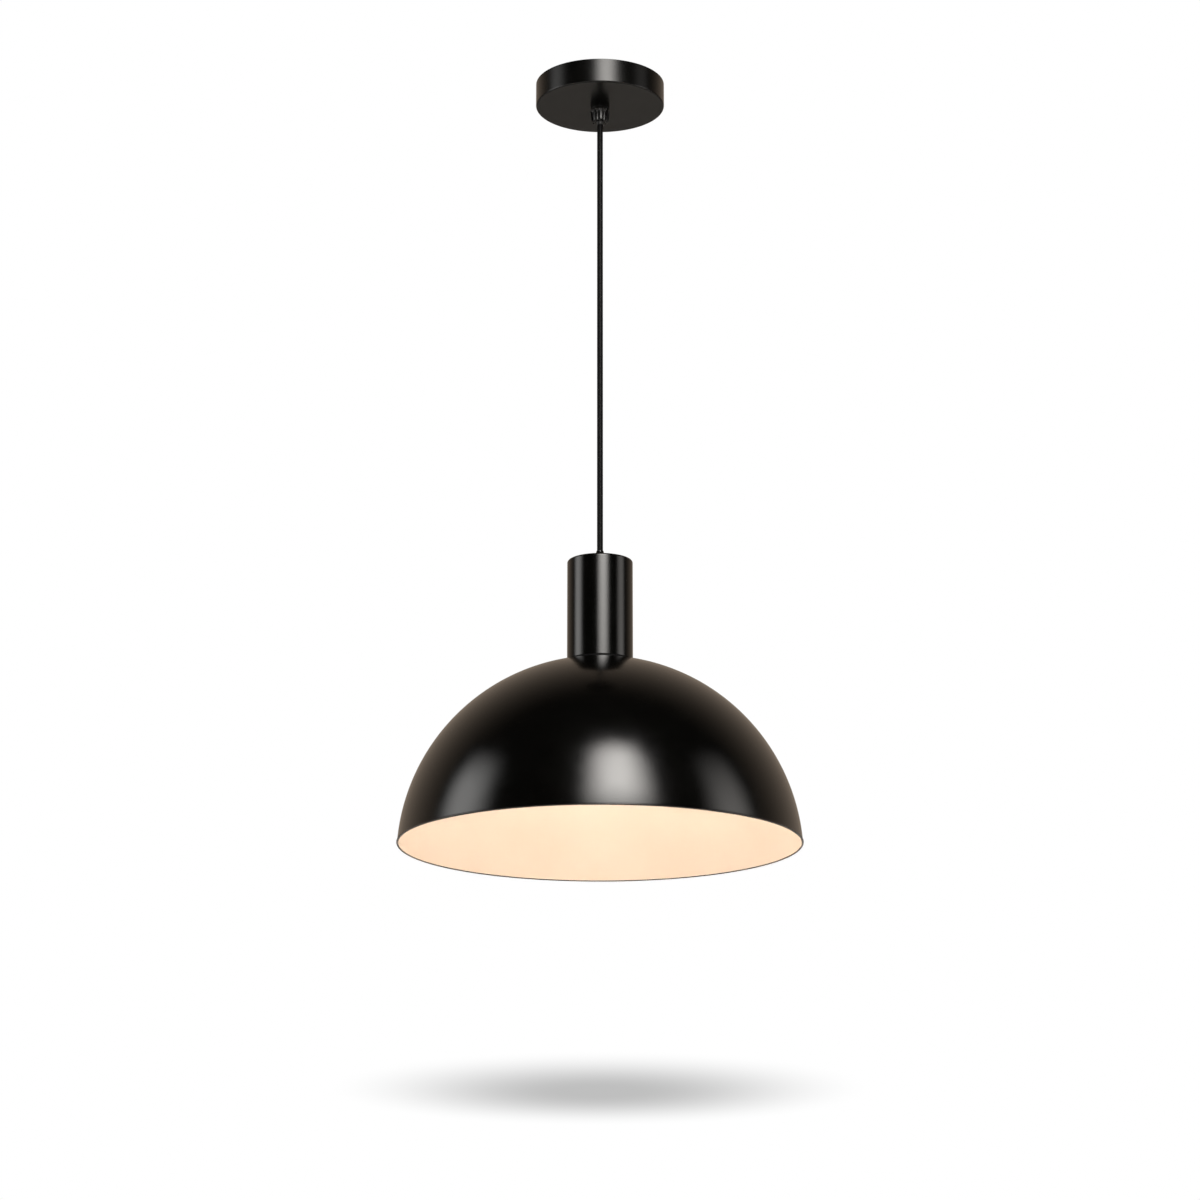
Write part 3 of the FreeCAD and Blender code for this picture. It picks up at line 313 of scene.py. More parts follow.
def all_materials():
    """One material for each slot of the record, the lining and three single finishes."""
    materials = {
        "black_paint": black_paint("black_paint", 0.14, 0.18, 0.5),
        "canopy_paint": black_paint("canopy_paint", 0.21, 0.26, 0.33),
        "white_lining": white_lining(),
        "black_plastic": black_plastic(),
        "cord_sheath": cord_sheath(),
        "zinc_steel": zinc_steel(),
        "brass": brass(),
        "nickel_shell": nickel_shell(),
        "fibre": fibre(),
        "opal": opal(),
        "board": board(),
    }
    for name, recipe in MOULDED.items():
        materials[name] = moulded(name, *recipe)
    return materials


# ---------------------------------------------------------------- mesh helpers
def rounded(corners, steps=6):
    """A closed outline of (radius, height[, rounding]) corners, as stations of r, z and normal.

    The outline goes outwards along the bottom, up the outside and back down, in millimetres.
    """
    corners = [(c[0], c[1], c[2] if len(c) > 2 else 0) for c in corners]
    count = len(corners)
    stations = []
    for number, (r, z, rounding) in enumerate(corners):
        before = corners[number - 1]
        after = corners[(number + 1) % count]
        way_in = Vector((r - before[0], z - before[1])).normalized()
        way_out = Vector((after[0] - r, after[1] - z)).normalized()
        start = math.atan2(-way_in.x, way_in.y)
        turn = math.atan2(way_in.x * way_out.y - way_in.y * way_out.x, way_in.dot(way_out))
        back = rounding * math.tan(abs(turn) / 2)
        side = 1 if turn > 0 else -1
        first = Vector((r, z)) - way_in * back
        normal_in = Vector((way_in.y, -way_in.x))
        centre = first - normal_in * rounding * side
        for step in range(steps + 1 if rounding else 2):
            share = step / (steps if rounding else 1)
            angle = start + turn * share
            normal = Vector((math.cos(angle), math.sin(angle)))
            point = centre + normal * rounding * side
            stations.append((point.x, point.y, normal.x, normal.y))
    return stations + stations[:1]


def arc(centre, radius, start, end, steps, outside=True):
    """Stations along an arc, angles in degrees from outward; normals away from its centre."""
    side = 1 if outside else -1
    stations = []
    for step in range(steps + 1):
        angle = (start + (end - start) * step / steps) * DEG
        across, up = math.cos(angle), math.sin(angle)
        point = (centre[0] + radius * across, centre[1] + radius * up)
        stations.append((*point, across * side, up * side))
    return stations


def revolve(name, runs, turns=96):
    """A mesh of runs turned about Z; each run is (stations, material). Exact normals."""
    vertices, faces, normals, painted = [], [], [], []
    rings = {}

    def ring(r, z):
        key = (round(r, 5), round(z, 5))
        if key not in rings:
            first = len(vertices)
            if abs(r) < 1e-6:
                vertices.append((0, 0, z * MM))
                rings[key] = [first] * (turns + 1)
            else:
                for step in range(turns):
                    angle = 2 * math.pi * step / turns
                    x, y = r * MM * math.cos(angle), r * MM * math.sin(angle)
                    vertices.append((x, y, z * MM))
                rings[key] = [first + step % turns for step in range(turns + 1)]
        return rings[key]

    materials = []
    for stations, material in runs:
        if material not in materials:
            materials.append(material)
        for low, high in zip(stations, stations[1:]):
            if math.dist(low[:2], high[:2]) < 1e-5:
                continue
            ring_a, ring_b = ring(*low[:2]), ring(*high[:2])
            for step in range(turns):
                corners = [
                    (ring_a[step], low, step),
                    (ring_a[step + 1], low, step + 1),
                    (ring_b[step + 1], high, step + 1),
                    (ring_b[step], high, step),
                ]
                unique = []
                for corner in corners:
                    if corner[0] not in [u[0] for u in unique]:
                        unique.append(corner)
                faces.append([u[0] for u in unique])
                painted.append(materials.index(material))
                for vertex, station, at in unique:
                    angle = 2 * math.pi * at / turns
                    across, up = station[2], station[3]
                    normals.append((across * math.cos(angle), across * math.sin(angle), up))
    mesh = bpy.data.meshes.new(name)
    mesh.from_pydata(vertices, [], faces)
    for material in materials:
        mesh.materials.append(material)
    mesh.polygons.foreach_set("material_index", painted)
    mesh.polygons.foreach_set("use_smooth", [True] * len(faces))
    mesh.normals_split_custom_set(normals)
    return link(name, mesh)


def wrapped(name, stations, reach, material, turns):
    """Like revolve, but reach(angle, z, r) moves each point in or out. Sharp edges are kept."""
    closed = stations[:-1] if math.dist(stations[0][:2], stations[-1][:2]) < 1e-6 else stations
    ringed = []
    for station in closed:
        if not ringed or math.dist(ringed[-1], station[:2]) > 1e-5:
            ringed.append(station[:2])
    if math.dist(ringed[0], ringed[-1]) < 1e-5:
        ringed.pop()
    vertices = []
    for r, z in ringed:
        for step in range(turns):
            angle = 2 * math.pi * step / turns
            far = reach(angle, z, r) * MM
            vertices.append((far * math.cos(angle), far * math.sin(angle), z * MM))
    faces = []
    count = len(ringed)
    for number in range(count):
        after = (number + 1) % count
        for step in range(turns):
            beside = (step + 1) % turns
            faces.append([
                number * turns + step,
                number * turns + beside,
                after * turns + beside,
                after * turns + step,
            ])
    mesh = bpy.data.meshes.new(name)
    mesh.from_pydata(vertices, [], faces)
    mesh.materials.append(material)
    mesh.polygons.foreach_set("use_smooth", [True] * len(faces))
    mesh.set_sharp_from_angle(angle=40 * DEG)
    return link(name, mesh)


def link(name, data):
    thing = bpy.data.objects.new(name, data)
    bpy.context.scene.collection.objects.link(thing)
    return thing


def dense(stations, longest):
    """Stations with straight stretches divided, so that no step is longer than this many mm."""
    result = [stations[0]]
    for before, after in zip(stations, stations[1:]):
        parts = max(1, math.ceil(math.dist(before[:2], after[:2]) / longest))
        for part in range(1, parts + 1):
            share = part / parts
            result.append(tuple(a + (b - a) * share for a, b in zip(before, after)))
    return result


def put(thing, body, slot, *nodes):
    """The piece rides on a body and stands for CAD nodes, which it hides; the slot is not used."""
    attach(thing, body)
    if nodes:
        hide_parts(*nodes)
    return thing


def thread(pitch, depth, low, high):
    """A reach for wrapped: a rounded right-hand thread that runs out over 1 mm at its ends."""

    def reach(angle, z, r):
        if not low <= z <= high:
            return r
        fade = min(1, z - low, high - z)
        wave = 0.5 - 0.5 * math.cos(2 * math.pi * (z / pitch - angle / (2 * math.pi)))
        return r - depth * wave * fade

    return reach


# ---------------------------------------------------------------- ceiling side
def canopy_cover(paint):
    """The disc cover: a drawn cup with a rounded lower edge and two side screw holes."""
    outer = radius_of("canopy_cover") / MM
    low = CANOPY_LOW / MM
    wall, hole = SHEET["canopy"], ENTRY_HOLE
    corners = [
        (hole, low, 0.2),
        (outer, low, 1.6),
        (outer, 0, 0.3),
        (outer - wall, 0, 0.3),
        (outer - wall, low + wall, 0.6),
        (hole, low + wall, 0.2),
    ]
    cover = revolve("canopy_cover_piece", [(rounded(corners, 8), paint)], 192)
    put(cover, "ceiling_mount", "black_paint", "canopy_cover")
    bore_screw_holes(cover)
    return cover


def bore_screw_holes(cover):
    """Cut the two side screw holes with a boolean that is applied."""
    screw_low, screw_high = levels("canopy_side_screws")
    cutter_mesh = bpy.data.meshes.new("screw_hole_cutter")
    shape = bmesh.new()
    reach = SIDE_SCREW_HOLE * MM
    bmesh.ops.create_cone(
        shape, cap_ends=True, segments=48, radius1=reach, radius2=reach, depth=0.14
    )
    shape.to_mesh(cutter_mesh)
    shape.free()
    cutter = link("screw_hole_cutter", cutter_mesh)
    cutter.rotation_euler = (0, 90 * DEG, 0)
    cutter.location = (0, 0, (screw_low + screw_high) / 2)
    cut = cover.modifiers.new("screw_holes", "BOOLEAN")
    cut.operation = "DIFFERENCE"
    cut.solver = "EXACT"
    cut.object = cutter
    bpy.context.view_layer.update()
    graph = bpy.context.evaluated_depsgraph_get()
    bored = bpy.data.meshes.new_from_object(cover.evaluated_get(graph))
    cover.modifiers.clear()
    cover.data = bored
    bpy.data.objects.remove(cutter)


def grip(plastic, dull):
    """The cord grip's flange, its fluted nut and the slit collet."""
    low, high = (z / MM for z in levels("grip_body"))
    flange_low = CANOPY_LOW / MM - 2.2
    flange = radius_of("grip_nut") / MM - 0.3
    bore = CORD_RADIUS / MM + 0.15
    corners = [
        (bore, low, 0.2),
        (6, low, 0.3),
        (6, flange_low),
        (flange, flange_low, 0.4),
        (flange, CANOPY_LOW / MM, 0.3),
        (5, CANOPY_LOW / MM),
        (5, high, 0.6),
        (bore, high, 0.2),
    ]
    body = revolve("grip_body_piece", [(rounded(corners, 4), plastic)], 72)
    put(body, "ceiling_mount", "black_plastic", "grip_body")

    low, high = (z / MM for z in levels("grip_nut"))
    top = radius_of("grip_nut") / MM
    mouth = 4.4
    corners = [
        (mouth, low, 0.3),
        (7.8, low, 1.0),
        (top, high - 1.2, 0.8),
        (top - 0.6, high, 0.3),
        (6.25, high, 0.2),
        (6.25, high - 8.1),
        (mouth, low + 1.2, 0.2),
    ]

    def flutes(angle, z, r):
        """Rounded flutes, full depth at the lower end and running out near the top."""
        if r < 6.5:
            return r
        wave = 0.5 - 0.5 * math.cos(FLUTES * (angle - FLUTE_PHASE * DEG))
        groove = max(0.0, wave - 0.2) / 0.8
        run_out = min(1.0, max(0.0, (high - 1.4 - z) / 1.6))
        thinnest = 6.4 if z > low + 4 else 5.6
        return max(thinnest, r - FLUTE_DEPTH * math.sqrt(groove * run_out))

    nut = wrapped("grip_nut_piece", dense(rounded(corners, 4), 0.6), flutes, plastic, 240)
    put(nut, "grip_nut", "black_plastic", "grip_nut")

    low, high = (z / MM for z in levels("grip_collet"))
    collar = radius_of("grip_collet") / MM
    slit_top = high - 1.8
    collet = bmesh.new()
    share, steps = 2 * math.pi / COLLET_FINGERS, 14
    outline = [
        (bore, low),
        (CORD_RADIUS / MM + 0.5, low),
        (4.0, low + 2.2),
        (4.0, low + 4.2),
        (collar, high - 1.2),
        (collar, high),
        (bore, high),
    ]
    for finger in range(COLLET_FINGERS):
        rows = []
        for r, z in outline:
            row = []
            half = math.asin(COLLET_SLIT / 2 / r) if z < slit_top else 0
            for step in range(steps + 1):
                angle = share * finger + half + (share - 2 * half) * step / steps
                place = (r * MM * math.cos(angle), r * MM * math.sin(angle), z * MM)
                row.append(collet.verts.new(place))
            rows.append(row)
        for number, row in enumerate(rows):
            after = rows[(number + 1) % len(rows)]
            for step in range(steps):
                collet.faces.new((row[step], row[step + 1], after[step + 1], after[step]))
        for end in (0, steps):
            side = [row[end] for row in rows]
            collet.faces.new(side if end else side[::-1])
    bmesh.ops.remove_doubles(collet, verts=collet.verts, dist=1e-6)
    mesh = bpy.data.meshes.new("grip_collet_piece")
    collet.to_mesh(mesh)
    collet.free()
    mesh.materials.append(dull)
    mesh.polygons.foreach_set("use_smooth", [True] * len(mesh.polygons))
    mesh.set_sharp_from_angle(angle=30 * DEG)
    put(link("grip_collet_piece", mesh), "collet", "black_plastic", "grip_collet")


# ---------------------------------------------------------------- cord
def cord(sheath):
    """The straight cord between its bends, and its two ends inside the fittings."""
    curve = bpy.data.curves.new("cord", "CURVE")
    curve.dimensions = "3D"
    curve.bevel_depth = CORD_RADIUS
    curve.bevel_resolution = 8
    curve.resolution_u = 12
    curve.use_fill_caps = True
    line = curve.splines.new("NURBS")
    places = [UPPER_BEND, (UPPER_BEND + LOWER_BEND) / 2, LOWER_BEND]
    line.points.add(len(places) - 1)
    for point, level in zip(line.points, places):
        point.co = (0, 0, level, 1)
    line.order_u = 3
    line.use_endpoint_u = True
    curve.materials.append(sheath)
    run = link("cord_run", curve)
    put(run, "upper_cord", "cord_sheath", "cord_upper_run", "cord_lower_run")

    radius = CORD_RADIUS / MM
    for name, body, low, high in (
        ("cord_top_end", "ceiling_mount", UPPER_BEND, levels("cord_top_end")[1]),
        ("cord_bottom_end", "lamp_head", levels("cord_bottom_end")[0], LOWER_BEND),
    ):
        corners = [(0, low / MM), (radius, low / MM, 0.3), (radius, high / MM, 0.3), (0, high / MM)]
        stations = rounded(corners, 3)[1:-2]
        put(revolve(f"{name}_piece", [(stations, sheath)], 48), body, "cord_sheath", name)
    for name, body, level in (
        ("cord_bend_upper", "upper_bend", UPPER_BEND),
        ("cord_bend_lower", "lower_bend", LOWER_BEND),
    ):
        half_round = arc((0, level / MM), radius - 0.01, -90, 90, 24)
        ball = revolve(f"{name}_piece", [(half_round, sheath)], 48)
        put(ball, body, "cord_sheath", name)


# ---------------------------------------------------------------- lamp head
def cup_and_bush(paint, plastic, dull):
    """The tall socket cup on its dull foot ring, and the flared bush that the cord runs into."""
    outer = radius_of("socket_cup") / MM
    foot, top = CUP_FOOT / MM, CUP_TOP / MM
    wall, hole = SHEET["cup"], ENTRY_HOLE
    step_up, step_in = 2.4, 0.25
    corners = [
        (outer - wall, foot, 0.3),
        (outer - step_in, foot, 0.2),
        (outer - step_in, foot + step_up),
        (outer, foot + step_up + step_in, 0.1),
        (outer, top, 2.0),
        (hole, top, 0.2),
        (hole, top - wall, 0.2),
        (outer - wall, top - wall, 1.4),
    ]
    stations = rounded(corners, 10)
    turned = next(n for n, station in enumerate(stations) if station[1] > foot + step_up - 0.01)
    runs = [(stations[: turned + 1], dull), (stations[turned:], paint)]
    cup = revolve("socket_cup_piece", runs, 160)
    put(cup, "lamp_head", "black_paint", "socket_cup")

    low, high = (z / MM for z in levels("cup_bush"))
    radius = CORD_RADIUS / MM
    corners = [
        (5.05, low, 0.1),
        (6.2, low, 0.6),
        (6.2, low + 5.0, 1.6),
        (4.6, low + 5.9, 1.2),
        (radius + 0.9, high - 1.6, 3),
        (radius + 0.45, high, 0.14),
        (radius + 0.15, high),
        (radius + 0.15, low + 3.8),
        (5.05, low + 3.8),
    ]
    bush = revolve("cup_bush_piece", [(rounded(corners, 6), plastic)], 72)
    put(bush, "lamp_head", "black_plastic", "cup_bush")


def shade(paint, lining):
    """The spun dome: black outside, white inside, with a small lip rolled outwards at the rim."""
    rim, seat = RIM / MM, levels("shade")[1] / MM
    lip_reach = radius_of("shade") / MM
    sphere, wall, lip = DOME_RADIUS, SHEET["shade"], LIP_RADIUS
    inner = sphere - wall
    underside = seat - wall + SEAM
    seat_edge = radius_of("socket_cup") / MM + 0.3
    hole = 20.3
    middle = (0, rim - DOME_DROP)
    lip_middle = (lip_reach - lip, rim + lip)

    def up_angle(radius, height):
        return math.degrees(math.asin((height - middle[1]) / radius))

    outer_start = up_angle(sphere, rim + 2 * lip - 0.28)
    outer_end = up_angle(sphere, seat)
    inner_start = up_angle(inner, rim + 0.25)
    masked = up_angle(inner, rim + MASKED_EDGE)
    inner_end = up_angle(inner, underside)
    inner_foot = math.sqrt(inner ** 2 - (rim + 0.25 - middle[1]) ** 2)
    outside = (
        [(lip_middle[0], rim, 0, -1)]
        + arc(lip_middle, lip, -90, 100, 14)
        + arc(middle, sphere, outer_start, outer_end, 80)
        + [(seat_edge, seat, 0, 1), (hole + 0.3, seat, 0, 1)]
    )
    edge = (
        arc((hole + 0.3, seat - 0.3), 0.3, 90, 180, 4)
        + arc((hole + 0.3, underside + 0.3), 0.3, 180, 270, 4)
    )
    inside = (
        [(hole + 0.3, underside, 0, -1), (inner * math.cos(inner_end * DEG), underside, 0, -1)]
        + arc(middle, inner, inner_end, masked, 80, outside=False)
    )
    foot = (
        arc(middle, inner, masked, inner_start, 2, outside=False)
        + arc((inner_foot + 0.25, rim + 0.25), 0.25, 180, 270, 4)
        + [(lip_middle[0], rim, 0, -1)]
    )
    runs = [(outside, paint), (edge, paint), (inside, lining), (foot, paint)]
    dome = revolve("shade_piece", runs, 320)
    put(dome, "lamp_head", "black_paint", "shade")


def shade_ring(plastic):
    """The ring nut under the dome, with finger notches round its flange."""
    low, high = (z / MM for z in levels("shade_ring"))
    high -= SEAM
    outer = radius_of("shade_ring") / MM
    bore, collar = 20.05, 23.05
    corners = [
        (bore, low, 0.3),
        (collar, low, 0.5),
        (collar, low + 4.0, 0.5),
        (outer, low + 4.8, 0.5),
        (outer, high, 0.5),
        (bore, high, 0.2),
    ]

    def notches(angle, z, r):
        if r < collar + 0.3:
            return r
        wave = max(0.0, math.cos(RING_NOTCHES * angle))
        return r - NOTCH_DEPTH * wave ** 1.5 * (r - collar) / (outer - collar)

    ring = wrapped("shade_ring_piece", dense(rounded(corners, 4), 0.8), notches, plastic, 384)
    put(ring, "shade_ring", "white_plastic", "shade_ring")


def skirt_and_shell(plastic, nickel):
    """The lampholder's threaded skirt and the screw shell inside it."""
    low, high = (z / MM for z in levels("lampholder_skirt"))
    shoulder = radius_of("lampholder_skirt") / MM
    seat = CUP_FOOT / MM
    outer, bore = 19.8, 15.6
    corners = [
        (bore, low, 0.6),
        (outer, low, 1.0),
        (outer, seat),
        (shoulder, seat, 0.2),
        (shoulder, seat + 2.5, 0.5),
        (outer, seat + 2.5),
        (outer, high, 0.3),
        (16.9, high, 0.3),
        (16.9, seat + 13.6),
        (bore, seat + 13.6, 0.2),
    ]
    cut = thread(THREAD_PITCH["shade_ring"], 0.55, low + 0.6, seat - 0.4)

    def reach(angle, z, r):
        return cut(angle, z, r) if r > outer - 0.2 and z < seat - 0.2 else r

    skirt = wrapped("lampholder_skirt_piece", dense(rounded(corners, 4), 0.3), reach, plastic, 144)
    put(skirt, "lamp_head", "black_plastic", "lampholder_skirt")

    low, high = (z / MM for z in levels("screw_shell"))
    corners = [
        (13.55, low, 0.1),
        (14.0, low, 0.1),
        (14.0, high, 0.3),
        (12.35, high),
        (12.35, high - 0.45),
        (13.55, high - 0.45),
    ]
    shell = revolve("screw_shell_piece", [(rounded(corners, 3), nickel)], 96)
    put(shell, "lamp_head", "nickel_shell", "screw_shell")


# ---------------------------------------------------------------- bulb
def bulb(nickel, white, glowing):
    """An LED bulb: rolled screw cap, white housing and lit opal diffuser."""
    low, high = (z / MM for z in levels("bulb_cap"))
    corners = [
        (12.4, low, 0.1),
        (13.2, low, 0.3),
        (13.2, high, 1.0),
        (10.8, high, 0.2),
        (10.8, high - 0.6),
        (12.4, high - 1.2, 0.4),
    ]
    cut = thread(THREAD_PITCH["bulb"], 0.75, low + 3.0, high - 2.0)

    def reach(angle, z, r):
        return cut(angle, z, r) if r > 12.9 else r

    cap = wrapped("bulb_cap_piece", dense(rounded(corners, 4), 0.3), reach, nickel, 120)
    put(cap, "bulb", "nickel_shell", "bulb_cap")

    globe = radius_of("bulb_diffuser") / MM
    end = levels("bulb_diffuser")[0] / MM
    low, high = (z / MM for z in levels("bulb_housing"))
    middle = end + globe
    neck, wall, sweep = 14.6, 1.6, 60.0
    split = radius_of("bulb_housing") / MM
    chord = Vector((neck - split, high - 2.8 - low))
    across = Vector((chord.y, -chord.x)).normalized()
    reach_out = math.sqrt(sweep ** 2 - (chord.length / 2) ** 2)
    centre = Vector((split, low)) + chord * 0.5 + across * reach_out
    start = math.degrees(math.atan2(low - centre.y, split - centre.x))
    finish = math.degrees(math.atan2(high - 2.8 - centre.y, neck - centre.x))
    start, finish = start % 360, finish % 360
    outside = [(split, low, 1, 0), *arc(centre, sweep, start, finish, 24, outside=False)]
    inner = [(r - wall, z, -nr, -nz) for r, z, nr, nz in reversed(outside)]
    stations = (
        [(split - wall, low, 0, -1), (split, low, 0, -1)]
        + outside
        + [(neck, high - 2.8, 1, 0), (neck, high - 0.3, 1, 0)]
        + arc((neck - 0.3, high - 0.3), 0.3, 0, 90, 4)
        + [(neck - wall, high, 0, 1), (neck - wall, high, -1, 0), (neck - wall, high - 2.8, -1, 0)]
        + inner
    )
    housing = revolve("bulb_housing_piece", [(stations, white)], 96)
    put(housing, "bulb", "white_plastic", "bulb_housing")

    glass = 1.2
    inside = globe - glass
    top = math.degrees(math.asin((low - middle) / globe))
    inner_top = math.degrees(math.asin((low - middle) / inside))
    shell = (
        arc((0, middle), globe, -90, top, 56)
        + [(inside * math.cos(inner_top * DEG), low, 0, 1)]
        + arc((0, middle), inside, inner_top, -90, 40, outside=False)
    )
    diffuser = revolve("bulb_diffuser_piece", [(shell, glowing)], 96)
    put(diffuser, "bulb", "opal", "bulb_diffuser")


# ---------------------------------------------------------------- carried-over nodes
def paint_carried_nodes(materials):
    """Every CAD node that stays gets its slot's material."""
    for row in frame["record"]["subparts"]:
        node = frame["nodes"][row["node"]]
        if node.hide_render:
            continue
        node.data.materials.clear()
        node.data.materials.append(materials[row["material_slot"]])


# ---------------------------------------------------------------- stage
def softbox(name, azimuth, distance, sides, foot, head, radiance, colour):
    """A glowing upright panel with soft edges, unseen by the camera itself.

    Sides are the angles in degrees, either way, where it starts to fade and has gone; foot and
    head the same as slopes above the shade, the first of each pair where the glow has gone.
    """
    half = distance * math.tan(sides[1] * DEG)
    low, high = distance * foot[0], distance * head[0]
    mesh = bpy.data.meshes.new(name)
    corners = [(-half, low, 0), (half, low, 0), (half, high, 0), (-half, high, 0)]
    mesh.from_pydata(corners, [], [(0, 1, 2, 3)])
    material = bpy.data.materials.new(name)
    material.use_nodes = True
    tree = material.node_tree
    tree.nodes.clear()
    output = tree.nodes.new("ShaderNodeOutputMaterial")
    glow = tree.nodes.new("ShaderNodeEmission")
    glow.inputs["Color"].default_value = (*colour, 1)
    where = tree.nodes.new("ShaderNodeTexCoord")
    apart = tree.nodes.new("ShaderNodeSeparateXYZ")
    tree.links.new(where.outputs["Object"], apart.inputs[0])
    strength = None
    fades = (
        ("X", -half, -distance * math.tan(sides[0] * DEG)),
        ("X", half, distance * math.tan(sides[0] * DEG)),
        ("Y", low, distance * foot[1]),
        ("Y", high, distance * head[1]),
    )
    for axis, gone, full in fades:
        fade = tree.nodes.new("ShaderNodeMapRange")
        fade.interpolation_type = "SMOOTHSTEP"
        fade.inputs["From Min"].default_value = gone
        fade.inputs["From Max"].default_value = full
        tree.links.new(apart.outputs[axis], fade.inputs["Value"])
        if strength is None:
            fade.inputs["To Max"].default_value = radiance
            strength = fade.outputs[0]
            continue
        times = tree.nodes.new("ShaderNodeMath")
        times.operation = "MULTIPLY"
        tree.links.new(strength, times.inputs[0])
        tree.links.new(fade.outputs[0], times.inputs[1])
        strength = times.outputs[0]
    tree.links.new(strength, glow.inputs["Strength"])
    tree.links.new(glow.outputs[0], output.inputs["Surface"])
    mesh.materials.append(material)
    panel = link(name, mesh)
    outwards = Vector((math.sin(azimuth * DEG), -math.cos(azimuth * DEG), 0))
    panel.location = Vector((0, 0, LIT_HEIGHT)) + outwards * (distance + LIT_REACH)
    panel.rotation_euler = (90 * DEG, 0, azimuth * DEG)
    panel.visible_camera = False
    panel.visible_shadow = False
    return panel


def surroundings():
    """White to the eye; as a light, dark above and in front and warm grey low behind."""
    world = bpy.data.worlds.new("studio")
    bpy.context.scene.world = world
    world.use_nodes = True
    tree = world.node_tree
    tree.nodes.clear()
    output = tree.nodes.new("ShaderNodeOutputWorld")
    seen = tree.nodes.new("ShaderNodeBackground")
    seen.inputs["Color"].default_value = (1, 1, 1, 1)
    lighting = tree.nodes.new("ShaderNodeBackground")
    where = tree.nodes.new("ShaderNodeTexCoord")
    apart = tree.nodes.new("ShaderNodeSeparateXYZ")
    tree.links.new(where.outputs["Generated"], apart.inputs[0])
    behind = tree.nodes.new("ShaderNodeMapRange")
    behind.interpolation_type = "SMOOTHSTEP"
    behind.inputs["From Min"].default_value = 0.0
    behind.inputs["From Max"].default_value = 0.8
    tree.links.new(apart.outputs["Y"], behind.inputs["Value"])
    mix = tree.nodes.new("ShaderNodeMix")
    mix.data_type = "RGBA"
    tree.links.new(behind.outputs[0], mix.inputs["Factor"])
    colours = [i for i in mix.inputs if i.type == "RGBA"]
    colours[0].default_value = (0.016, 0.015, 0.012, 1)
    colours[1].default_value = (0.36, 0.288, 0.226, 1)
    mixed = [o for o in mix.outputs if o.type == "RGBA"][0]
    tree.links.new(mixed, lighting.inputs["Color"])
    path = tree.nodes.new("ShaderNodeLightPath")
    choose = tree.nodes.new("ShaderNodeMixShader")
    tree.links.new(path.outputs["Is Camera Ray"], choose.inputs[0])
    tree.links.new(lighting.outputs[0], choose.inputs[1])
    tree.links.new(seen.outputs[0], choose.inputs[2])
    tree.links.new(choose.outputs[0], output.inputs["Surface"])


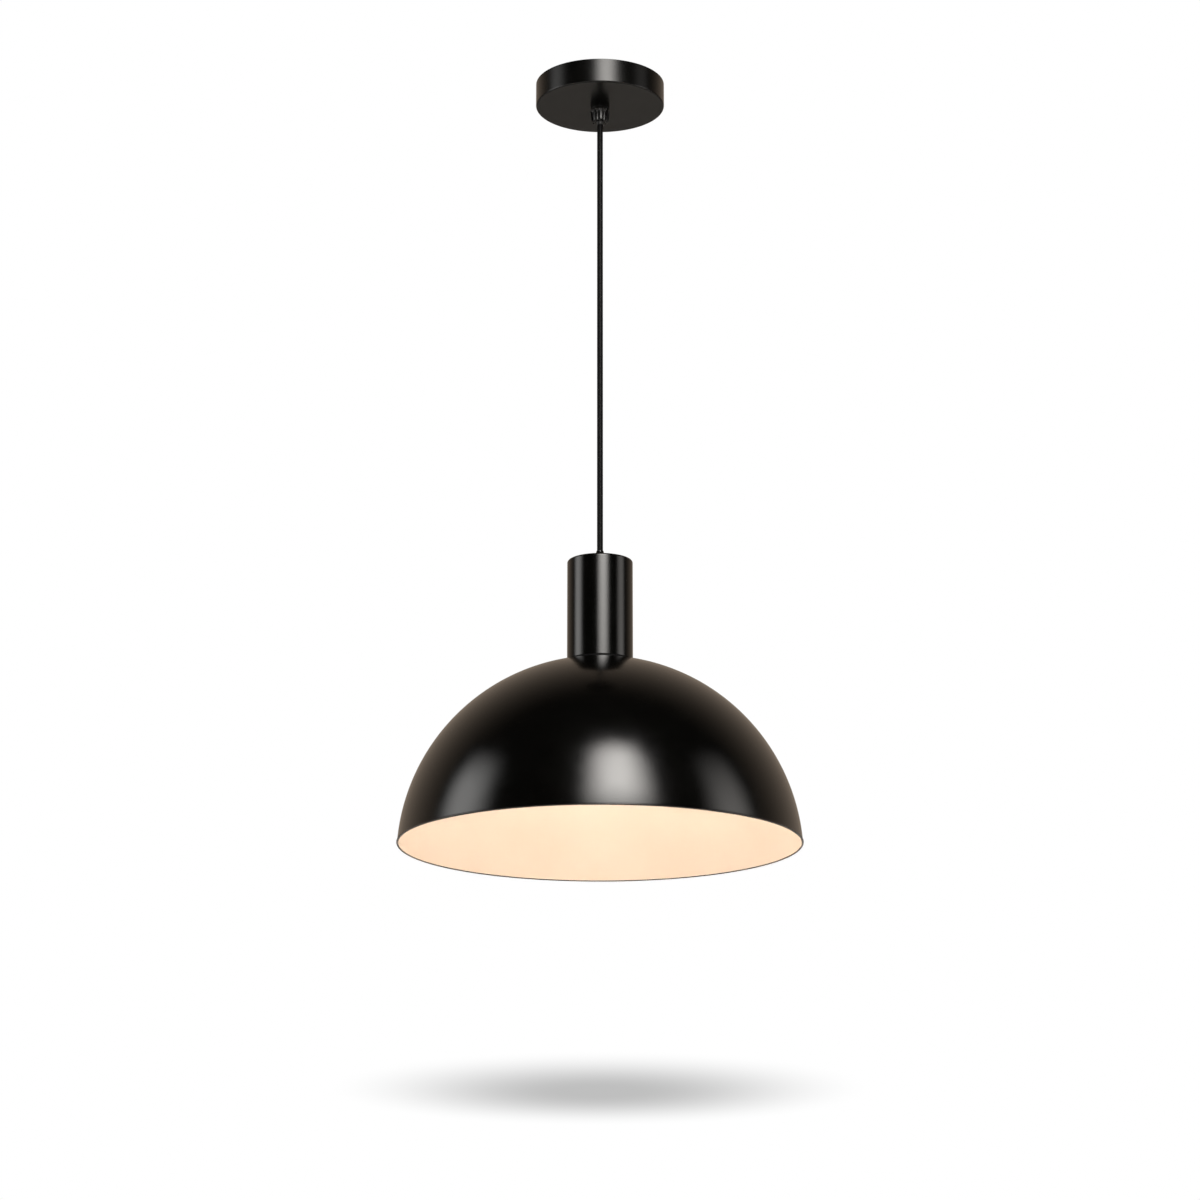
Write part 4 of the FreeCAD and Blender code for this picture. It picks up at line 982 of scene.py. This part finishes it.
def floor():
    """A plain pale floor with a painted soft round shadow under the light; from below only that
    painted shadow shows.
    """
    mesh = bpy.data.meshes.new("floor")
    shape = bmesh.new()
    bmesh.ops.create_circle(shape, cap_ends=True, segments=96, radius=FLOOR_RADIUS)
    shape.to_mesh(mesh)
    shape.free()
    material = bpy.data.materials.new("floor")
    material.use_nodes = True
    tree = material.node_tree
    shader = tree.nodes["Principled BSDF"]
    shader.inputs["Base Color"].default_value = (0.86, 0.86, 0.85, 1)
    shader.inputs["Roughness"].default_value = 0.9
    where = tree.nodes.new("ShaderNodeTexCoord")
    scaled = tree.nodes.new("ShaderNodeMapping")
    scaled.inputs["Scale"].default_value = (1, PAINTED_SHADOW_ACROSS / PAINTED_SHADOW_ALONG, 0)
    tree.links.new(where.outputs["Object"], scaled.inputs["Vector"])
    away = tree.nodes.new("ShaderNodeVectorMath")
    away.operation = "LENGTH"
    tree.links.new(scaled.outputs[0], away.inputs[0])
    # Painted shadow: the floor's colour darkens towards the middle, under the light
    fade = tree.nodes.new("ShaderNodeMapRange")
    fade.interpolation_type = "SMOOTHSTEP"
    fade.inputs["From Min"].default_value = PAINTED_SHADOW_CORE
    fade.inputs["From Max"].default_value = PAINTED_SHADOW_ACROSS
    fade.inputs["To Min"].default_value = 1 - PAINTED_SHADOW_DEPTH
    fade.inputs["To Max"].default_value = 1.0
    tree.links.new(away.outputs["Value"], fade.inputs["Value"])
    # To the camera the floor is an even pale glow carrying the painted shadow; other rays see the
    # plain floor
    path = tree.nodes.new("ShaderNodeLightPath")
    floor_with_painted_shadow = tree.nodes.new("ShaderNodeEmission")
    tree.links.new(fade.outputs[0], floor_with_painted_shadow.inputs["Color"])
    above = tree.nodes.new("ShaderNodeMixShader")
    tree.links.new(path.outputs["Is Camera Ray"], above.inputs[0])
    tree.links.new(shader.outputs[0], above.inputs[1])
    tree.links.new(floor_with_painted_shadow.outputs[0], above.inputs[2])
    # From below, the painted shadow dims what shows through the floor
    clear = tree.nodes.new("ShaderNodeBsdfTransparent")
    tree.links.new(fade.outputs[0], clear.inputs["Color"])
    side = tree.nodes.new("ShaderNodeNewGeometry")
    choose = tree.nodes.new("ShaderNodeMixShader")
    tree.links.new(side.outputs["Backfacing"], choose.inputs[0])
    tree.links.new(above.outputs[0], choose.inputs[1])
    tree.links.new(clear.outputs[0], choose.inputs[2])
    tree.links.new(choose.outputs[0], tree.nodes["Material Output"].inputs["Surface"])
    mesh.materials.append(material)
    plane = link("floor", mesh)
    plane.location = (0, 0, FLOOR)
    plane.visible_diffuse = False


# ---------------------------------------------------------------- the scene
camera()
materials = all_materials()
cord(materials["cord_sheath"])
canopy_cover(materials["canopy_paint"])
grip(materials["black_plastic"], materials["grained_plastic"])
cup_and_bush(materials["black_paint"], materials["black_plastic"], materials["cord_sheath"])
shade(materials["black_paint"], materials["white_lining"])
shade_ring(materials["white_plastic"])
skirt_and_shell(materials["black_plastic"], materials["nickel_shell"])
bulb(materials["nickel_shell"], materials["white_plastic"], materials["opal"])
paint_carried_nodes(materials)

softbox("front_softbox", 11, 2.25, (2, 26.5), (0.02, 0.6), (1.75, 0.92), 14.8, (1.0, 0.97, 0.93))
softbox("left_softbox", -82, 1.9, (3, 24), (-0.25, -0.02), (1.05, 0.42), 3.2, (1.0, 0.99, 0.97))
softbox("right_softbox", 77.5, 1.9, (3, 22), (-0.25, -0.02), (1.1, 0.1), 2.2, (1.0, 0.96, 0.92))
surroundings()
floor()
